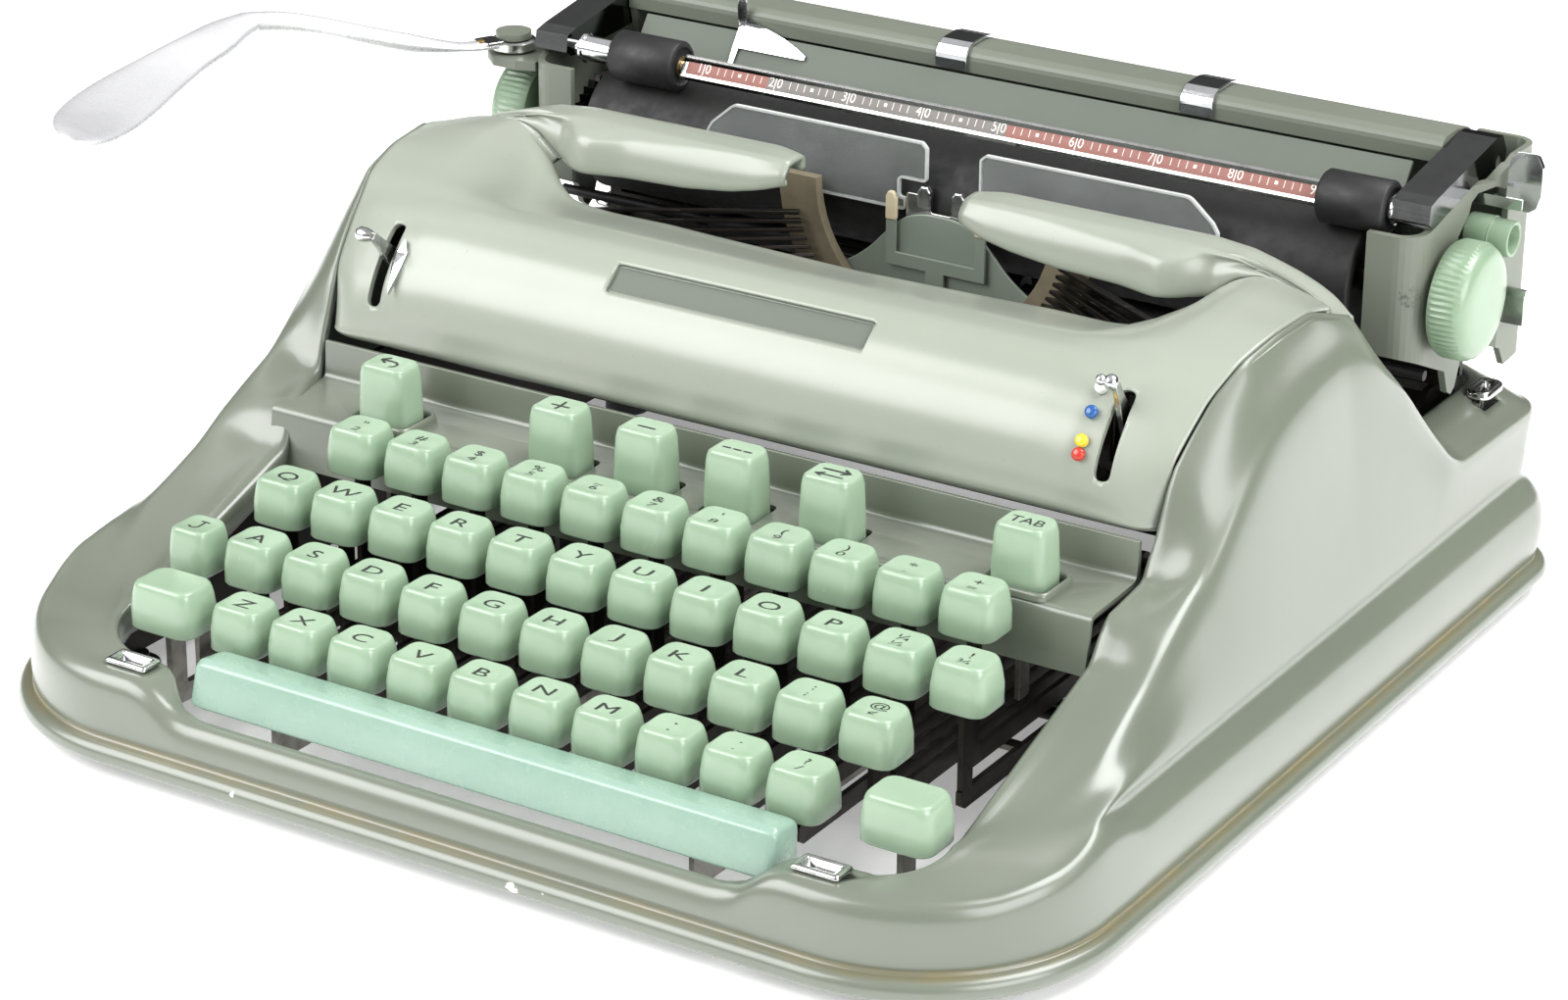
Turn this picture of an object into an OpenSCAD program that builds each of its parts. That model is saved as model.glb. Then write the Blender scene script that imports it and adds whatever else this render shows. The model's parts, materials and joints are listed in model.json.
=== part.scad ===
/* [Case] */
// Width of the case over its rim bead
body_w = 328.3; // [320:0.1:336]
// Depth of the case over its rim bead
body_d = 331; // [327:0.5:335]
// Radius of the front corners of the rim in plan
corner_front_r = 56.4; // [54:0.1:58]
// Sheet thickness of the case shell
shell_t = 1.7; // [1.5:0.1:1.9]
// Sheet thickness of the lift-off top cover
cover_t = 1.8; // [1.6:0.1:2]
// Depth of the rubber feet below the rim
foot_drop = 4; // [3:0.5:6]

/* [Keyboard] */
// Sideways distance from one key to the next
key_pitch = 19; // [18.7:0.05:19.3]
// Width of a character key at its foot
cap_w = 16.4; // [15.5:0.1:16.6]
// Height of a character key cap
cap_h = 13; // [11:0.5:13.5]
// Height of the tall function keys
tall_h = 23; // [21:0.5:24]
// Thickness of the key levers
lever_t = 1.6; // [1.2:0.1:1.8]

/* [Carriage] */
// Radius of the platen roller
platen_r = 19; // [18:0.1:19.1]
// Length of the platen roller
platen_len = 250; // [240:1:252]
// Radius of the two ribbed platen knobs
knob_r = 16.5; // [15:0.1:17]
// Radius of the rubber rollers on the paper bail
bail_roller_r = 7.5; // [6:0.1:7.6]
// Diameter of the small hollow release knob
small_knob_d = 11.2; // [10:0.1:11.6]

/* [Type mechanism] */
// Number of resting type bars on each side of the middle one
bars_per_side = 21; // [12:1:21]
// Distance from the type bar pivots to the printing point
bar_ring_r = 44; // [43:0.1:44.4]
// Radius of the two ribbon spools
spool_r = 19; // [15:0.1:19.4]

/* [Fits] */
// Radial clearance of turning parts on their pins
run_clear = 0.05; // [0.03:0.01:0.1]
// Gap between neighbouring parts that do not touch
seat_gap = 0.3; // [0.2:0.05:0.4]

/* [Hidden] */
$fn = 40;
lever_reach = 211.6;
origin_x = (lever_reach - body_w / 2) / 2;
origin_y = -body_d / 2;
origin_z = foot_drop;
hw = body_w / 2;
corner_rear_r = 20;

case_green = [0.66, 0.69, 0.62];
cover_green = [0.64, 0.69, 0.64];
dark_green = [0.45, 0.5, 0.45];
mint = [0.7, 0.87, 0.75];
bar_mint = [0.67, 0.83, 0.75];
steel = [0.6, 0.61, 0.62];
chrome_c = [0.82, 0.83, 0.85];
dark_steel = [0.25, 0.26, 0.27];
rubber_c = [0.08, 0.08, 0.08];
clear_c = [0.75, 0.78, 0.8, 0.5];

// Curve helpers
function mix(a, b, t) = a + (b - a) * t;
function clamp01(t) = max(0, min(1, t));
function unit(v) = v / max(norm(v), 0.000001);
function arc(cx, cy, r, a0, a1, n) =
  [for (i = [0 : n]) let (a = a0 + (a1 - a0) * i / n) [cx + r * cos(a), cy + r * sin(a)]];
function rrp(w, d, r, n) = concat(
  arc(w / 2 - r, d / 2 - r, r, 0, 90, n),
  arc(-w / 2 + r, d / 2 - r, r, 90, 180, n),
  arc(-w / 2 + r, -d / 2 + r, r, 180, 270, n),
  arc(w / 2 - r, -d / 2 + r, r, 270, 360, n));

// Extrusions along the three axes
module xbar(x0, x1, pts) {
  translate([x0, 0, 0]) rotate([90, 0, 90]) linear_extrude(x1 - x0) polygon(pts);
}
module ybar(y0, y1, pts) {
  translate([0, y1, 0]) rotate([90, 0, 0]) linear_extrude(y1 - y0) polygon(pts);
}
module zbar(z0, z1, pts) {
  translate([0, 0, z0]) linear_extrude(z1 - z0) polygon(pts);
}
module xcyl(x0, x1, y, z, r) {
  translate([x0, y, z]) rotate([0, 90, 0]) cylinder(h = x1 - x0, r = r);
}
module ycyl(x, y0, y1, z, r) {
  translate([x, y1, z]) rotate([90, 0, 0]) cylinder(h = y1 - y0, r = r);
}
module box(a, b) {
  translate(a) cube(b - a);
}
module bar_between(p, q, w, h, roll) {
  v = q - p;
  len = norm(v);
  translate(p) rotate([0, acos(v[2] / len), atan2(v[1], v[0])]) rotate([0, 0, roll])
    translate([-h / 2, -w / 2, 0]) cube([h, w, len]);
}

// Sheet between two point grids, with cells switched on by a table
function cell_on(A, i, j, ci, cj, wrap) =
  (j < 0 || j >= cj) ? 0 : (wrap ? A[(i + ci) % ci][j] : ((i < 0 || i >= ci) ? 0 : A[i][j]));
module sheet(P, Q, A, wrap) {
  ni = len(P);
  nj = len(P[0]);
  ci = wrap ? ni : ni - 1;
  cj = nj - 1;
  o = ni * nj;
  pts = concat([for (r = P) for (p = r) p], [for (r = Q) for (p = r) p]);
  faces = [
    for (i = [0 : ci - 1]) for (j = [0 : cj - 1]) if (A[i][j] == 1)
      let (
        a = i * nj + j,
        b = ((i + 1) % ni) * nj + j,
        c = b + 1,
        d = a + 1,
        w0 = cell_on(A, i, j - 1, ci, cj, wrap) == 0 ? [[a, b, b + o], [a, b + o, a + o]] : [],
        w1 = cell_on(A, i, j + 1, ci, cj, wrap) == 0 ? [[c, d, d + o], [c, d + o, c + o]] : [],
        w2 = cell_on(A, i - 1, j, ci, cj, wrap) == 0 ? [[d, a, a + o], [d, a + o, d + o]] : [],
        w3 = cell_on(A, i + 1, j, ci, cj, wrap) == 0 ? [[b, c, c + o], [b, c + o, b + o]] : []
      )
      each concat([[a, c, b], [a, d, c], [a + o, b + o, c + o], [a + o, c + o, d + o]],
        w0, w1, w2, w3)
  ];
  polyhedron(pts, faces, convexity = 8);
}

// Guide curves of the case, read from front to back
shoulder_z = [[0, 24.3], [20, 24.5], [40, 27], [50, 30], [60, 34], [77, 42], [95, 50], [106, 57],
  [117, 62.5], [127, 67], [133, 72], [140, 78.5], [146, 84], [153, 90], [161, 95.5], [173, 100],
  [187, 103], [200, 104], [210, 103], [218, 99], [235, 84], [247, 70], [258, 58], [265, 54],
  [331, 53]];
shoulder_in = [[0, 19.4], [205, 19.4], [235, 14.5], [258, 11], [331, 10.5]];
edge_z = [[38, 30.5], [100, 51], [104, 57], [108, 61], [126, 63.5], [131, 72], [132, 74], [138, 89],
  [145, 97], [153, 104.6], [164, 112], [178, 115], [194, 116], [217, 108], [222, 103], [235, 88],
  [247, 76], [258, 64], [265, 60.5], [331, 60]];
seam_x = [[131, 130.4], [138, 131], [145, 132.5], [153, 134], [164, 137], [178, 139],
  [194, 140.5], [217, 141], [258, 140.5], [331, 140]];
well_lag = [[56.4, 38], [66, 56], [76, 72], [86, 85], [96, 96], [265, 265], [296, 290],
  [312, 300]];
lip_z = [[0, 16.3], [80, 16.3], [86, 17.6], [90, 20.5], [94, 23.2], [99, 24.3], [200, 24.3]];
lip_y = [[0, 10.6], [80, 10.6], [86, 11.6], [90, 14.5], [94, 18.2], [99, 20], [200, 20]];
front_x = [0, 22, 44, 62, 76, 82, 86, 90, 94, 99];
side_y = [66, 76, 86, 96, 102, 108, 118, 127, 131.5, 134, 138, 141.5, 145, 149, 153, 158, 164,
  171, 178, 186, 194, 205, 217, 224, 235, 247, 258, 265, 280, 296];
well_right = 130;
well_left = 121;
well_r = 12.5;

// Rim outline with its outward direction: x, y, nx, ny
cfx = hw - corner_front_r;
crx = hw - corner_rear_r;
cry = body_d - corner_rear_r;
half_rim = concat(
  [for (x = front_x) [x, 0, 0, -1, 0, x]],
  [for (i = [0 : 8]) let (a = -90 + 90 * i / 8)
    [cfx + corner_front_r * cos(a), corner_front_r * (1 + sin(a)), cos(a), sin(a), 1, a]],
  [for (y = side_y) [hw, y, 1, 0, 2, y]],
  [for (i = [0 : 4]) let (a = 90 * i / 4)
    [crx + corner_rear_r * cos(a), cry + corner_rear_r * sin(a), cos(a), sin(a), 3, a]],
  [for (x = [100, 50, 0]) [x, body_d, 0, 1, 4, x]]);

function edge_point(s, w) =
  s[4] == 0 ? [s[5], lookup(s[5], lip_y), lookup(s[5], lip_z) - 0.1] :
  s[4] == 1 ? [w - well_r + well_r * cos(s[5]), 20 + well_r * (1 + sin(s[5])),
    mix(24.5, 30.5, clamp01((s[5] + 90) / 90))] :
  s[4] == 2 ? let (y = lookup(s[5], well_lag))
    [y < 131 ? mix(w, 130.4, clamp01((y - 100) / 31)) : lookup(y, seam_x) + seat_gap, y,
      lookup(y, edge_z)] :
  s[4] == 3 ? [122 + 18.3 * cos(s[5]), 300 + 18 * sin(s[5]), 60] :
  [s[5] * 1.22, 318, 60];

// One column of the shell from the rim bead up and over to the opening
function column(s, w) = let (
    o = [s[0], s[1], 0],
    n = [s[2], s[3], 0],
    e = edge_point(s, w),
    k = clamp01((s[1] - 45) / 30),
    h = s[4] == 0 ? lookup(s[5], lip_z) : lookup(s[1], shoulder_z),
    ds = lookup(s[1], shoulder_in),
    z8 = min(35, mix(31.3, max(h, 32), 0.4)),
    f8 = o - n * 8.8 + [0, 0, h],
    front = [
      o - n * 1.5, o + [0, 0, 3], o - n * 2.8 + [0, 0, 6.2], o - n * 4.2 + [0, 0, 8],
      o - n * 4 + [0, 0, h * 0.55], o - n * 4.6 + [0, 0, h - 4.5],
      o - n * 5.8 + [0, 0, h - 1.8], o - n * 7.2 + [0, 0, h - 0.5], f8,
      mix(f8, e, 0.3), mix(f8, e, 0.55), mix(f8, e, 0.8), mix(f8, e, 0.95),
      e - [0, 0, 0.9]],
    s11 = o - n * ds + [0, 0, h],
    side = [
      o - n * 1.5, o + [0, 0, 3], o - n * 2.8 + [0, 0, 6.2], o - n * 3.6 + [0, 0, 8],
      o - n * 2.4 + [0, 0, 17], o - n * 3.6 + [0, 0, 24.5], o - n * 6 + [0, 0, 28],
      o - n * 9 + [0, 0, 31.3], o - n * 8.8 + [0, 0, z8],
      o - n * mix(8.8, ds - 3, 0.5) + [0, 0, mix(z8, h, 0.5)],
      o - n * (ds - 2.8) + [0, 0, mix(z8, h, 0.92)], s11,
      mix(s11, e, 0.6) + [0, 0, (e[2] - h) * 0.14], e]
  )
  concat([for (j = [0 : 13]) mix(front[j], side[j], k)],
    [mix(front[13], side[13], k) - [0, 0, s[4] == 0 ? 6 : 8]]);
function flip(p) = [-p[0], p[1], p[2]];
hn = len(half_rim);
shell_out = concat(
  [for (k = [0 : hn - 1]) column(half_rim[k], well_right)],
  [for (k = [hn - 2 : -1 : 1]) [for (p = column(half_rim[k], well_left)) flip(p)]]);
function ring_normal(P, i, j) = let (
    ni = len(P),
    nj = len(P[0]),
    du = P[(i + 1) % ni][j] - P[(i + ni - 1) % ni][j],
    dv = P[i][min(j + 1, nj - 1)] - P[i][max(j - 1, 0)]
  ) unit(cross(du, dv));
shell_in = [for (i = [0 : len(shell_out) - 1]) [for (j = [0 : len(shell_out[0]) - 1])
  shell_out[i][j] - shell_t * ring_normal(shell_out, i, j)]];
shell_cells = [for (p = shell_out) [for (j = [0 : len(p) - 2]) 1]];

// Positions of the character keys
row_y = [93.4, 73.2, 54.1, 35.9];
row_z = [68.3, 58.6, 48.8, 39.1];
row_n = [11, 12, 11, 10];
row_off = [5.95, 5.95, 1.2, 1.2];
row_first = [-5, -5.5, -5, -4.5];
live_x = row_off[2];
function key_x(r, i) = row_off[r] + (row_first[r] + i) * key_pitch;
tall_x = [-93.2, -37, -9.6, 18.6, 47.7, 104.3];
tall_y = 112.5;
tall_z = 79;
tall_w = 16;
tall_d = 12.4;
fulcrum_y = 222;
fulcrum_z = 20;
fulcrum_r = 2;

// Key ledge behind the well, with holes for the tall keys
ledge_y0 = 103.5;
ledge_y1 = 130;
ledge_z = 62;
module key_ledge() {
  difference() {
    union() {
      xbar(-127.6, 127.6, [[101.3, 49], [102.9, 49], [105, 60.4], [128.4, 60.4], [130, 61.4],
        [130, 72.6], [128.4, 72.6], [128.4, 62.3], [127.9, 62], [104.2, 62], [103.4, 61.2]]);
      for (x = [tall_x[0], tall_x[5]])
        translate([x, tall_y, 61]) linear_extrude(2.6) polygon(rrp(tall_w + 4.4, tall_d + 4.2, 3, 4));
    }
    for (x = tall_x)
      translate([x, tall_y, 58]) linear_extrude(8) polygon(rrp(tall_w + 1.5, tall_d + 1.4, 2.2, 4));
  }
}
latch_x = 105;
latch_y = 14.6;
module rounded_cut(x, y, z0, z1, w, d, r) {
  hull() for (a = [-1, 1]) for (b = [-1, 1])
    translate([x + a * (w / 2 - r), y + b * (d / 2 - r), z0]) cylinder(h = z1 - z0, r = r, $fn = 24);
}
module body_shell() color(case_green) {
  difference() {
    union() {
      sheet(shell_out, shell_in, shell_cells, true);
      key_ledge();
      for (s = [-1, 1]) for (y = [84, 246])
        hull() {
          translate([s * 158.4, y, 10]) cube([1.6, 10, 4], center = true);
          translate([s * 159.4, y, 10.5]) cube([1.4, 14, 8], center = true);
        }
    }
    for (s = [-1, 1]) rounded_cut(s * latch_x, latch_y, 18, 30, 11.4, 5.8, 0.8);
    for (s = [-1, 1]) rounded_cut(s * 147, 300, 52, 66, 5.2, 10.2, 2.5);
  }
}

// Steel frame that carries the mechanism
plate_x0 = 134.5;
plate_x1 = 136.5;
drum_y = 271.5;
bell_y = 269;
module main_frame() color(dark_steel) {
  for (s = [0, 1]) mirror([s, 0, 0]) {
    xbar(plate_x0, plate_x1, [[40, 6], [150, 6], [154, 1.5], [166, 1.5], [170, 6], [304, 6], [302, 62.5], [286, 62.5], [280, 59], [131, 57],
      [100, 40], [40, 18]]);
    for (y = [84, 246]) box([plate_x1 - 0.5, y - 5, 8], [156.6, y + 5, 12]);
    box([84, 168, 56], [plate_x0 + 0.5, 208, 58]);
    translate([106, 188, 57]) cylinder(h = 16, r = 2.5);
  }
  xcyl(-plate_x0 - 0.2, plate_x0 + 0.2, fulcrum_y, fulcrum_z, fulcrum_r);
  xcyl(-plate_x0 - 0.2, plate_x0 + 0.2, 150, 7, 2);
  box([-plate_x0 - 0.2, 158, 1.5], [plate_x0 + 0.2, 162, 5.5]);
  box([-plate_x0 - 0.2, 247.1, 24], [plate_x0 + 0.2, 252, 46]);
  box([-plate_x0 - 0.2, 292, 8], [plate_x0 + 0.2, 296, 59.8]);
  translate([-105, drum_y, 24]) cylinder(h = 24, r = 2.5);
  box([-plate_x0 - 0.2, drum_y - 4, 22], [-86, drum_y + 4, 25]);
  box([-109, 251, 24], [-101, drum_y + 4, 26]);
  translate([100, bell_y, 24]) cylinder(h = 20, r = 2);
  box([92, bell_y - 4, 22], [plate_x0 + 0.2, bell_y + 4, 25]);
  box([96, 251, 24], [104, bell_y + 4, 26]);
  ycyl(20, 251, 272, 38, 2);
}
module rubber_feet() color(rubber_c) {
  for (s = [-1, 1]) for (y = [50, 290])
    translate([s * 135.5, y, -foot_drop]) {
      cylinder(h = foot_drop + 3, r = 7);
      translate([0, 0, foot_drop + 2.9]) cylinder(h = 2.9, r = 4);
    }
}
module case_catches() color(chrome_c) {
  for (s = [-1, 1]) {
    translate([s * latch_x, latch_y, 16.55]) difference() {
      union() {
        linear_extrude(9.2) polygon(rrp(10.8, 5.2, 0.7, 3));
        translate([0, 0, 8.7]) linear_extrude(0.9) polygon(rrp(13.4, 7.6, 1, 3));
      }
      translate([0, 0, 1.2]) linear_extrude(12) polygon(rrp(8.8, 3.4, 0.5, 3));
    }
    translate([s * 147, 300, 54]) difference() {
      union() {
        linear_extrude(6.6) polygon(rrp(4.6, 9.6, 2.2, 6));
        translate([0, 0, 6.5]) linear_extrude(1.3) polygon(rrp(7.4, 13, 3.6, 8));
      }
      translate([0, 0, -1]) linear_extrude(12) polygon(rrp(2.8, 7.6, 1.3, 6));
    }
  }
}

// Top cover: crowned sheet with the scooped opening and the two rear lips
cover_fr = [0, 13, 27, 34, 45, 60, 72, 80, 87, 92, 97, 104, 112, 119, 125, 131, 135, 138.5, 141];
dome = [[131, 73], [131.4, 79], [131.9, 86], [134, 92], [137, 96.6], [143.7, 103.8], [152, 109.4],
  [162, 112.4], [172, 114.4], [180, 115.9], [200, 119], [212, 120], [222, 120.5]];
drop_shape = [[0, 0], [100, 0], [112, 1.2], [119, 3], [125, 4.7], [131, 7], [135, 9], [138.5, 11.6],
  [141, 14]];
scoop_depth = [[150, 0], [156, 1], [162, 3], [170, 7], [180, 12.4], [190, 17.4], [198, 21.5],
  [204, 23.7]];
scoop_side = [[0, 1], [45, 0.96], [62, 0.93], [80, 0.93], [87, 0.89], [92, 0.84], [97, 0.68],
  [104, 0.5], [112, 0.2], [119, 0.03], [125, 0]];
open_y = [[0, 204], [45, 204], [60, 203.3], [80, 202], [87, 200], [92, 198.6], [97, 200], [104, 206],
  [112, 206.5], [141, 207]];
lip_low = [[27, 6.5], [34, 8.5], [45, 11], [60, 12.6], [80, 12.9], [92, 12.9], [97, 12.6],
  [104, 12.2], [112, 4.8], [119, 0.8], [141, 0.4]];
// Seam height along the cover side, by distance from the front
seam_h = [[131, 73.5], [138, 89], [145, 97], [153, 104.6], [164, 112], [178, 115], [194, 116],
  [207, 113], [217, 108], [222, 104]];
function cover_top(f, y) = let (d = lookup(y, dome))
  d - lookup(f, drop_shape) * max(0, d - lookup(y, seam_h)) / 14;
function cover_pt(f, y, z) = [f / 141 * (lookup(y, seam_x) - seat_gap), y, z];
front_rows = [131, 131.4, 131.9, 134, 137, 140.3, 143.7, 147.8, 152, 157, 162, 170, 178, 186];
function corner_back(f, y) =
  y > 138 ? 0 : f < 131 ? 0 : 7 * (1 - sqrt(max(0, 1 - pow((f - 131) / 10, 2)))) * clamp01((138.5 - y) / 7);
function cover_column(f) = let (
    yo = lookup(f, open_y),
    sc = lookup(f, scoop_side),
    top = lookup(220, dome) - lookup(f, drop_shape) * 1.05,
    low = lookup(f, lip_low),
    tip = f <= 27.5 ? 1 : f <= 34.5 ? 0.25 : 0,
    fl = f < 112 ? 1 : 0,
    fy = [yo + 3.4 + tip * 2, yo + 4.2 + tip * 1.6, 210.5 + tip, 214, 222 - tip * 1.5, 222.2 - tip * 1.5]
  ) concat(
    [cover_pt(f, 132.6 + corner_back(f, 131), 73.2)],
    [for (y = front_rows) cover_pt(f, y + corner_back(f, y), cover_top(f, y) - lookup(y, scoop_depth) * sc)],
    [for (t = [0.5, 0.95, 1]) let (y = mix(186, yo, t))
      cover_pt(f, y, cover_top(f, y) - lookup(y, scoop_depth) * sc - (t == 1 ? 1 : 0) * fl * 0.7)],
    [cover_pt(f, fy[0], top - low), cover_pt(f, fy[1], top - low * 0.42),
      cover_pt(f, fy[2], top - low * 0.1 - tip), cover_pt(f, fy[3], top - tip * 0.8),
      cover_pt(f, fy[4], top - tip), cover_pt(f, fy[5], top - 5.2)]);
cover_half = [for (f = cover_fr) cover_column(f)];
cn = len(cover_half);
cover_out = concat([for (k = [cn - 1 : -1 : 1]) [for (p = cover_half[k]) flip(p)]], cover_half);
cover_rows = len(cover_half[0]);
slit_row = len(front_rows) + 3;
function col_f(i) = cover_fr[abs(i - (cn - 1))];
function in_slit(i) = col_f(i) < 104 ? 1 : 0;
cover_cells = [for (i = [0 : 2 * cn - 3]) let (f = min(col_f(i), col_f(i + 1)), g = max(col_f(i), col_f(i + 1)))
  [for (j = [0 : cover_rows - 2]) j < slit_row ? 1 : j == slit_row ? (g <= 104 ? 0 : 1) : (f < 27 ? 0 : 1)]];
function cover_normal(i, j) = let (
    nn = len(cover_out) - 1,
    u0 = max(i - 1, j > slit_row && i >= cn - 1 + 2 ? cn - 1 + 2 : 0),
    u1 = min(i + 1, j > slit_row && i <= cn - 1 - 2 ? cn - 1 - 2 : nn),
    v0 = in_slit(i) == 1 && j == slit_row + 1 ? j : max(j - 1, 0),
    v1 = in_slit(i) == 1 && j == slit_row ? j : min(j + 1, cover_rows - 1)
  ) unit(cross(cover_out[u1][j] - cover_out[u0][j], cover_out[i][v1] - cover_out[i][v0]));
cover_in = [for (i = [0 : len(cover_out) - 1]) [for (j = [0 : cover_rows - 1])
  cover_out[i][j] - cover_t * cover_normal(i, j)]];
slot_x = 114;
badge_x = -1.5;
badge_w = 81;
badge_h = 9;
module on_badge() {
  translate([badge_x, 144.5, 103.8]) rotate([39.6, 0, 0]) children();
}
module slot_cut(x) {
  hull() for (p = [[131.8, 87.5], [143.2, 104.2]])
    translate([x, p[0], p[1]]) rotate([50, 0, 0]) cylinder(h = 24, r = 2.3, center = true, $fn = 24);
}
module badge_block(w, h, z0, z1) {
  hull() for (a = [-1, 1]) for (b = [-1, 1])
    translate([a * (w / 2 - 1.2), b * (h / 2 - 1.2), z0]) cylinder(h = z1 - z0, r = 1.2, $fn = 24);
}
module rest_pad(x, y, z, dy) {
  hull() {
    translate([x, y, z]) cube([12, 2, 3], center = true);
    translate([x, y + dy, z + 2.5]) cube([10, 2, 2], center = true);
  }
}
module top_cover() color(cover_green) {
  difference() {
    union() {
      sheet(cover_out, cover_in, cover_cells, false);
      on_badge() badge_block(badge_w + 5, badge_h + 3, -3.4, -1.6);
      for (x = [-120, -40, 40, 120]) rest_pad(x, 133.6, 76, 0.8);
    }
    for (s = [-1, 1]) slot_cut(s * slot_x);
    on_badge() badge_block(badge_w, badge_h, -1.5, 6);
  }
}
module badge_plate() color(cover_green) {
  on_badge() translate([0, 0, -1.45]) linear_extrude(0.8) polygon(rrp(badge_w - 0.6, badge_h - 0.6, 1, 3));
}

// Levers and trim on the cover; the two levers swing in the cover slots
hub_y = 150;
hub_z = 88;
module slot_lever(x) {
  difference() {
    union() {
      xbar(x - 0.7, x + 0.7, [[hub_y - 3, hub_z - 3], [hub_y + 3.5, hub_z - 1], [hub_y + 2, hub_z + 4],
        [137.5, 102.9], [134.2, 105.8], [132.6, 104.2], [135.6, 100.6]]);
      xcyl(x - 1.6, x + 1.6, hub_y, hub_z, 4);
    }
    xcyl(x - 3, x + 3, hub_y, hub_z, 1.5 + run_clear);
  }
}
module cover_brackets() color(steel) {
  for (s = [-1, 1]) {
    xcyl(s * slot_x - 3.6, s * slot_x + 3.6, hub_y, hub_z, 1.5);
    for (t = [-1, 1]) {
      xbar(s * slot_x + t * 4 - 0.6, s * slot_x + t * 4 + 0.6,
        [[146, 84], [154, 84], [154, 105.3], [150.4, 103], [146, 99.4]]);
    }
  }
}
module touch_lever() color(chrome_c) {
  slot_lever(-slot_x);
  xbar(-slot_x - 6.5, -slot_x + 0.7, [[134.9, 105.2], [134.2, 105.8], [132.6, 104.2], [133.3, 103.4]]);
}
selector_turn = -16;
module ribbon_selector() color(chrome_c) {
  translate([0, hub_y, hub_z]) rotate([selector_turn, 0, 0]) translate([0, -hub_y, -hub_z]) {
    slot_lever(slot_x);
    translate([slot_x, 133.6, 105]) sphere(r = 2.2);
  }
}
ornament_drop = -2.2;
module pointer_ornament() color(chrome_c) {
  translate([-slot_x - 7.2, 139.2, 99.6]) rotate([46, 0, 0]) translate([0, 0, ornament_drop])
    linear_extrude(1.3) polygon([[-2.6, -9], [-1.1, -10.6], [2.3, -3], [2.9, 6], [1.5, 9.4], [-0.8, 4]]);
}
dot_y = [133.7, 136.6, 140.4, 144.3];
dot_z = [91.9, 96.4, 100.6, 104.6];
module selector_dots() color([0.7, 0.2, 0.2]) {
  for (i = [0 : 3]) translate([slot_x - 6.8, dot_y[i], dot_z[i]]) rotate([50, 0, 0])
    translate([0, 0, -0.9]) difference() {
      sphere(r = 2.1);
      translate([-3, -3, -6]) cube([6, 6, 6.6]);
    }
}

// Character keys and their levers
module cap(wt, dt, wb, db, h, dish) {
  difference() {
    intersection() {
      translate([0, 0, -h]) linear_extrude(h) polygon(rrp(wb, db, 3.2, 5));
      xbar(-wb, wb, [[-db / 2, -h], [db / 2, -h], [db / 2 - 0.3, -h + 3], [dt / 2 + 0.5, -1.4],
        [dt / 2 - 1, 0], [1 - dt / 2, 0], [-dt / 2 - 0.5, -1.4], [0.3 - db / 2, -h + 3]]);
      ybar(-db, db, [[-wb / 2, -h], [wb / 2, -h], [wb / 2 - 0.2, -h + 3], [wt / 2 + 0.4, -1.2],
        [wt / 2 - 0.8, 0], [0.8 - wt / 2, 0], [-wt / 2 - 0.4, -1.2], [0.2 - wb / 2, -h + 3]]);
    }
    if (dish) xcyl(-wb, wb, 0, 30 - 0.8, 30);
  }
}
cap_d = 15;
stem_z = fulcrum_z + 2.6;
module char_key(r, x) {
  translate([x, row_y[r], row_z[r]]) cap(cap_w - 3, cap_d - 3.4, cap_w, cap_d, cap_h, true);
}
module char_lever(r, x) {
  difference() {
    union() {
      xbar(x - lever_t / 2, x + lever_t / 2, [[row_y[r] - 3, stem_z], [row_y[r] - 3, fulcrum_z - 1],
        [row_y[r] - 1, fulcrum_z - 2.5], [fulcrum_y - 3, fulcrum_z - 2.5], [fulcrum_y, fulcrum_z + 3],
        [fulcrum_y - 6, stem_z]]);
      xcyl(x - lever_t / 2, x + lever_t / 2, fulcrum_y, fulcrum_z, 4);
      box([x - lever_t / 2, row_y[r] - 2.5, stem_z - 1], [x + lever_t / 2, row_y[r] + 2.5, row_z[r] - cap_h]);
    }
    xcyl(x - 3, x + 3, fulcrum_y, fulcrum_z, fulcrum_r + run_clear);
  }
}
module keys_row(r) color(mint) {
  for (i = [0 : row_n[r] - 1]) if (abs(key_x(r, i) - live_x) > 1 || r != 2) char_key(r, key_x(r, i));
}
module levers_row(r) color(steel) {
  for (i = [0 : row_n[r] - 1]) if (abs(key_x(r, i) - live_x) > 1 || r != 2) char_lever(r, key_x(r, i));
}
module keys_number_row() { keys_row(0); }
module keys_upper_row() { keys_row(1); }
module keys_home_row() { keys_row(2); }
module keys_lower_row() { keys_row(3); }
module levers_number_row() { levers_row(0); }
module levers_upper_row() { levers_row(1); }
module levers_home_row() { levers_row(2); }
module levers_lower_row() { levers_row(3); }
module live_key() color(mint) {
  char_key(2, live_x);
  box([live_x - lever_t / 2, row_y[2] - 2, row_z[2] - cap_h - 1], [live_x + lever_t / 2, row_y[2] + 2,
    row_z[2] - cap_h + 1]);
  char_lever(2, live_x);
}

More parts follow.
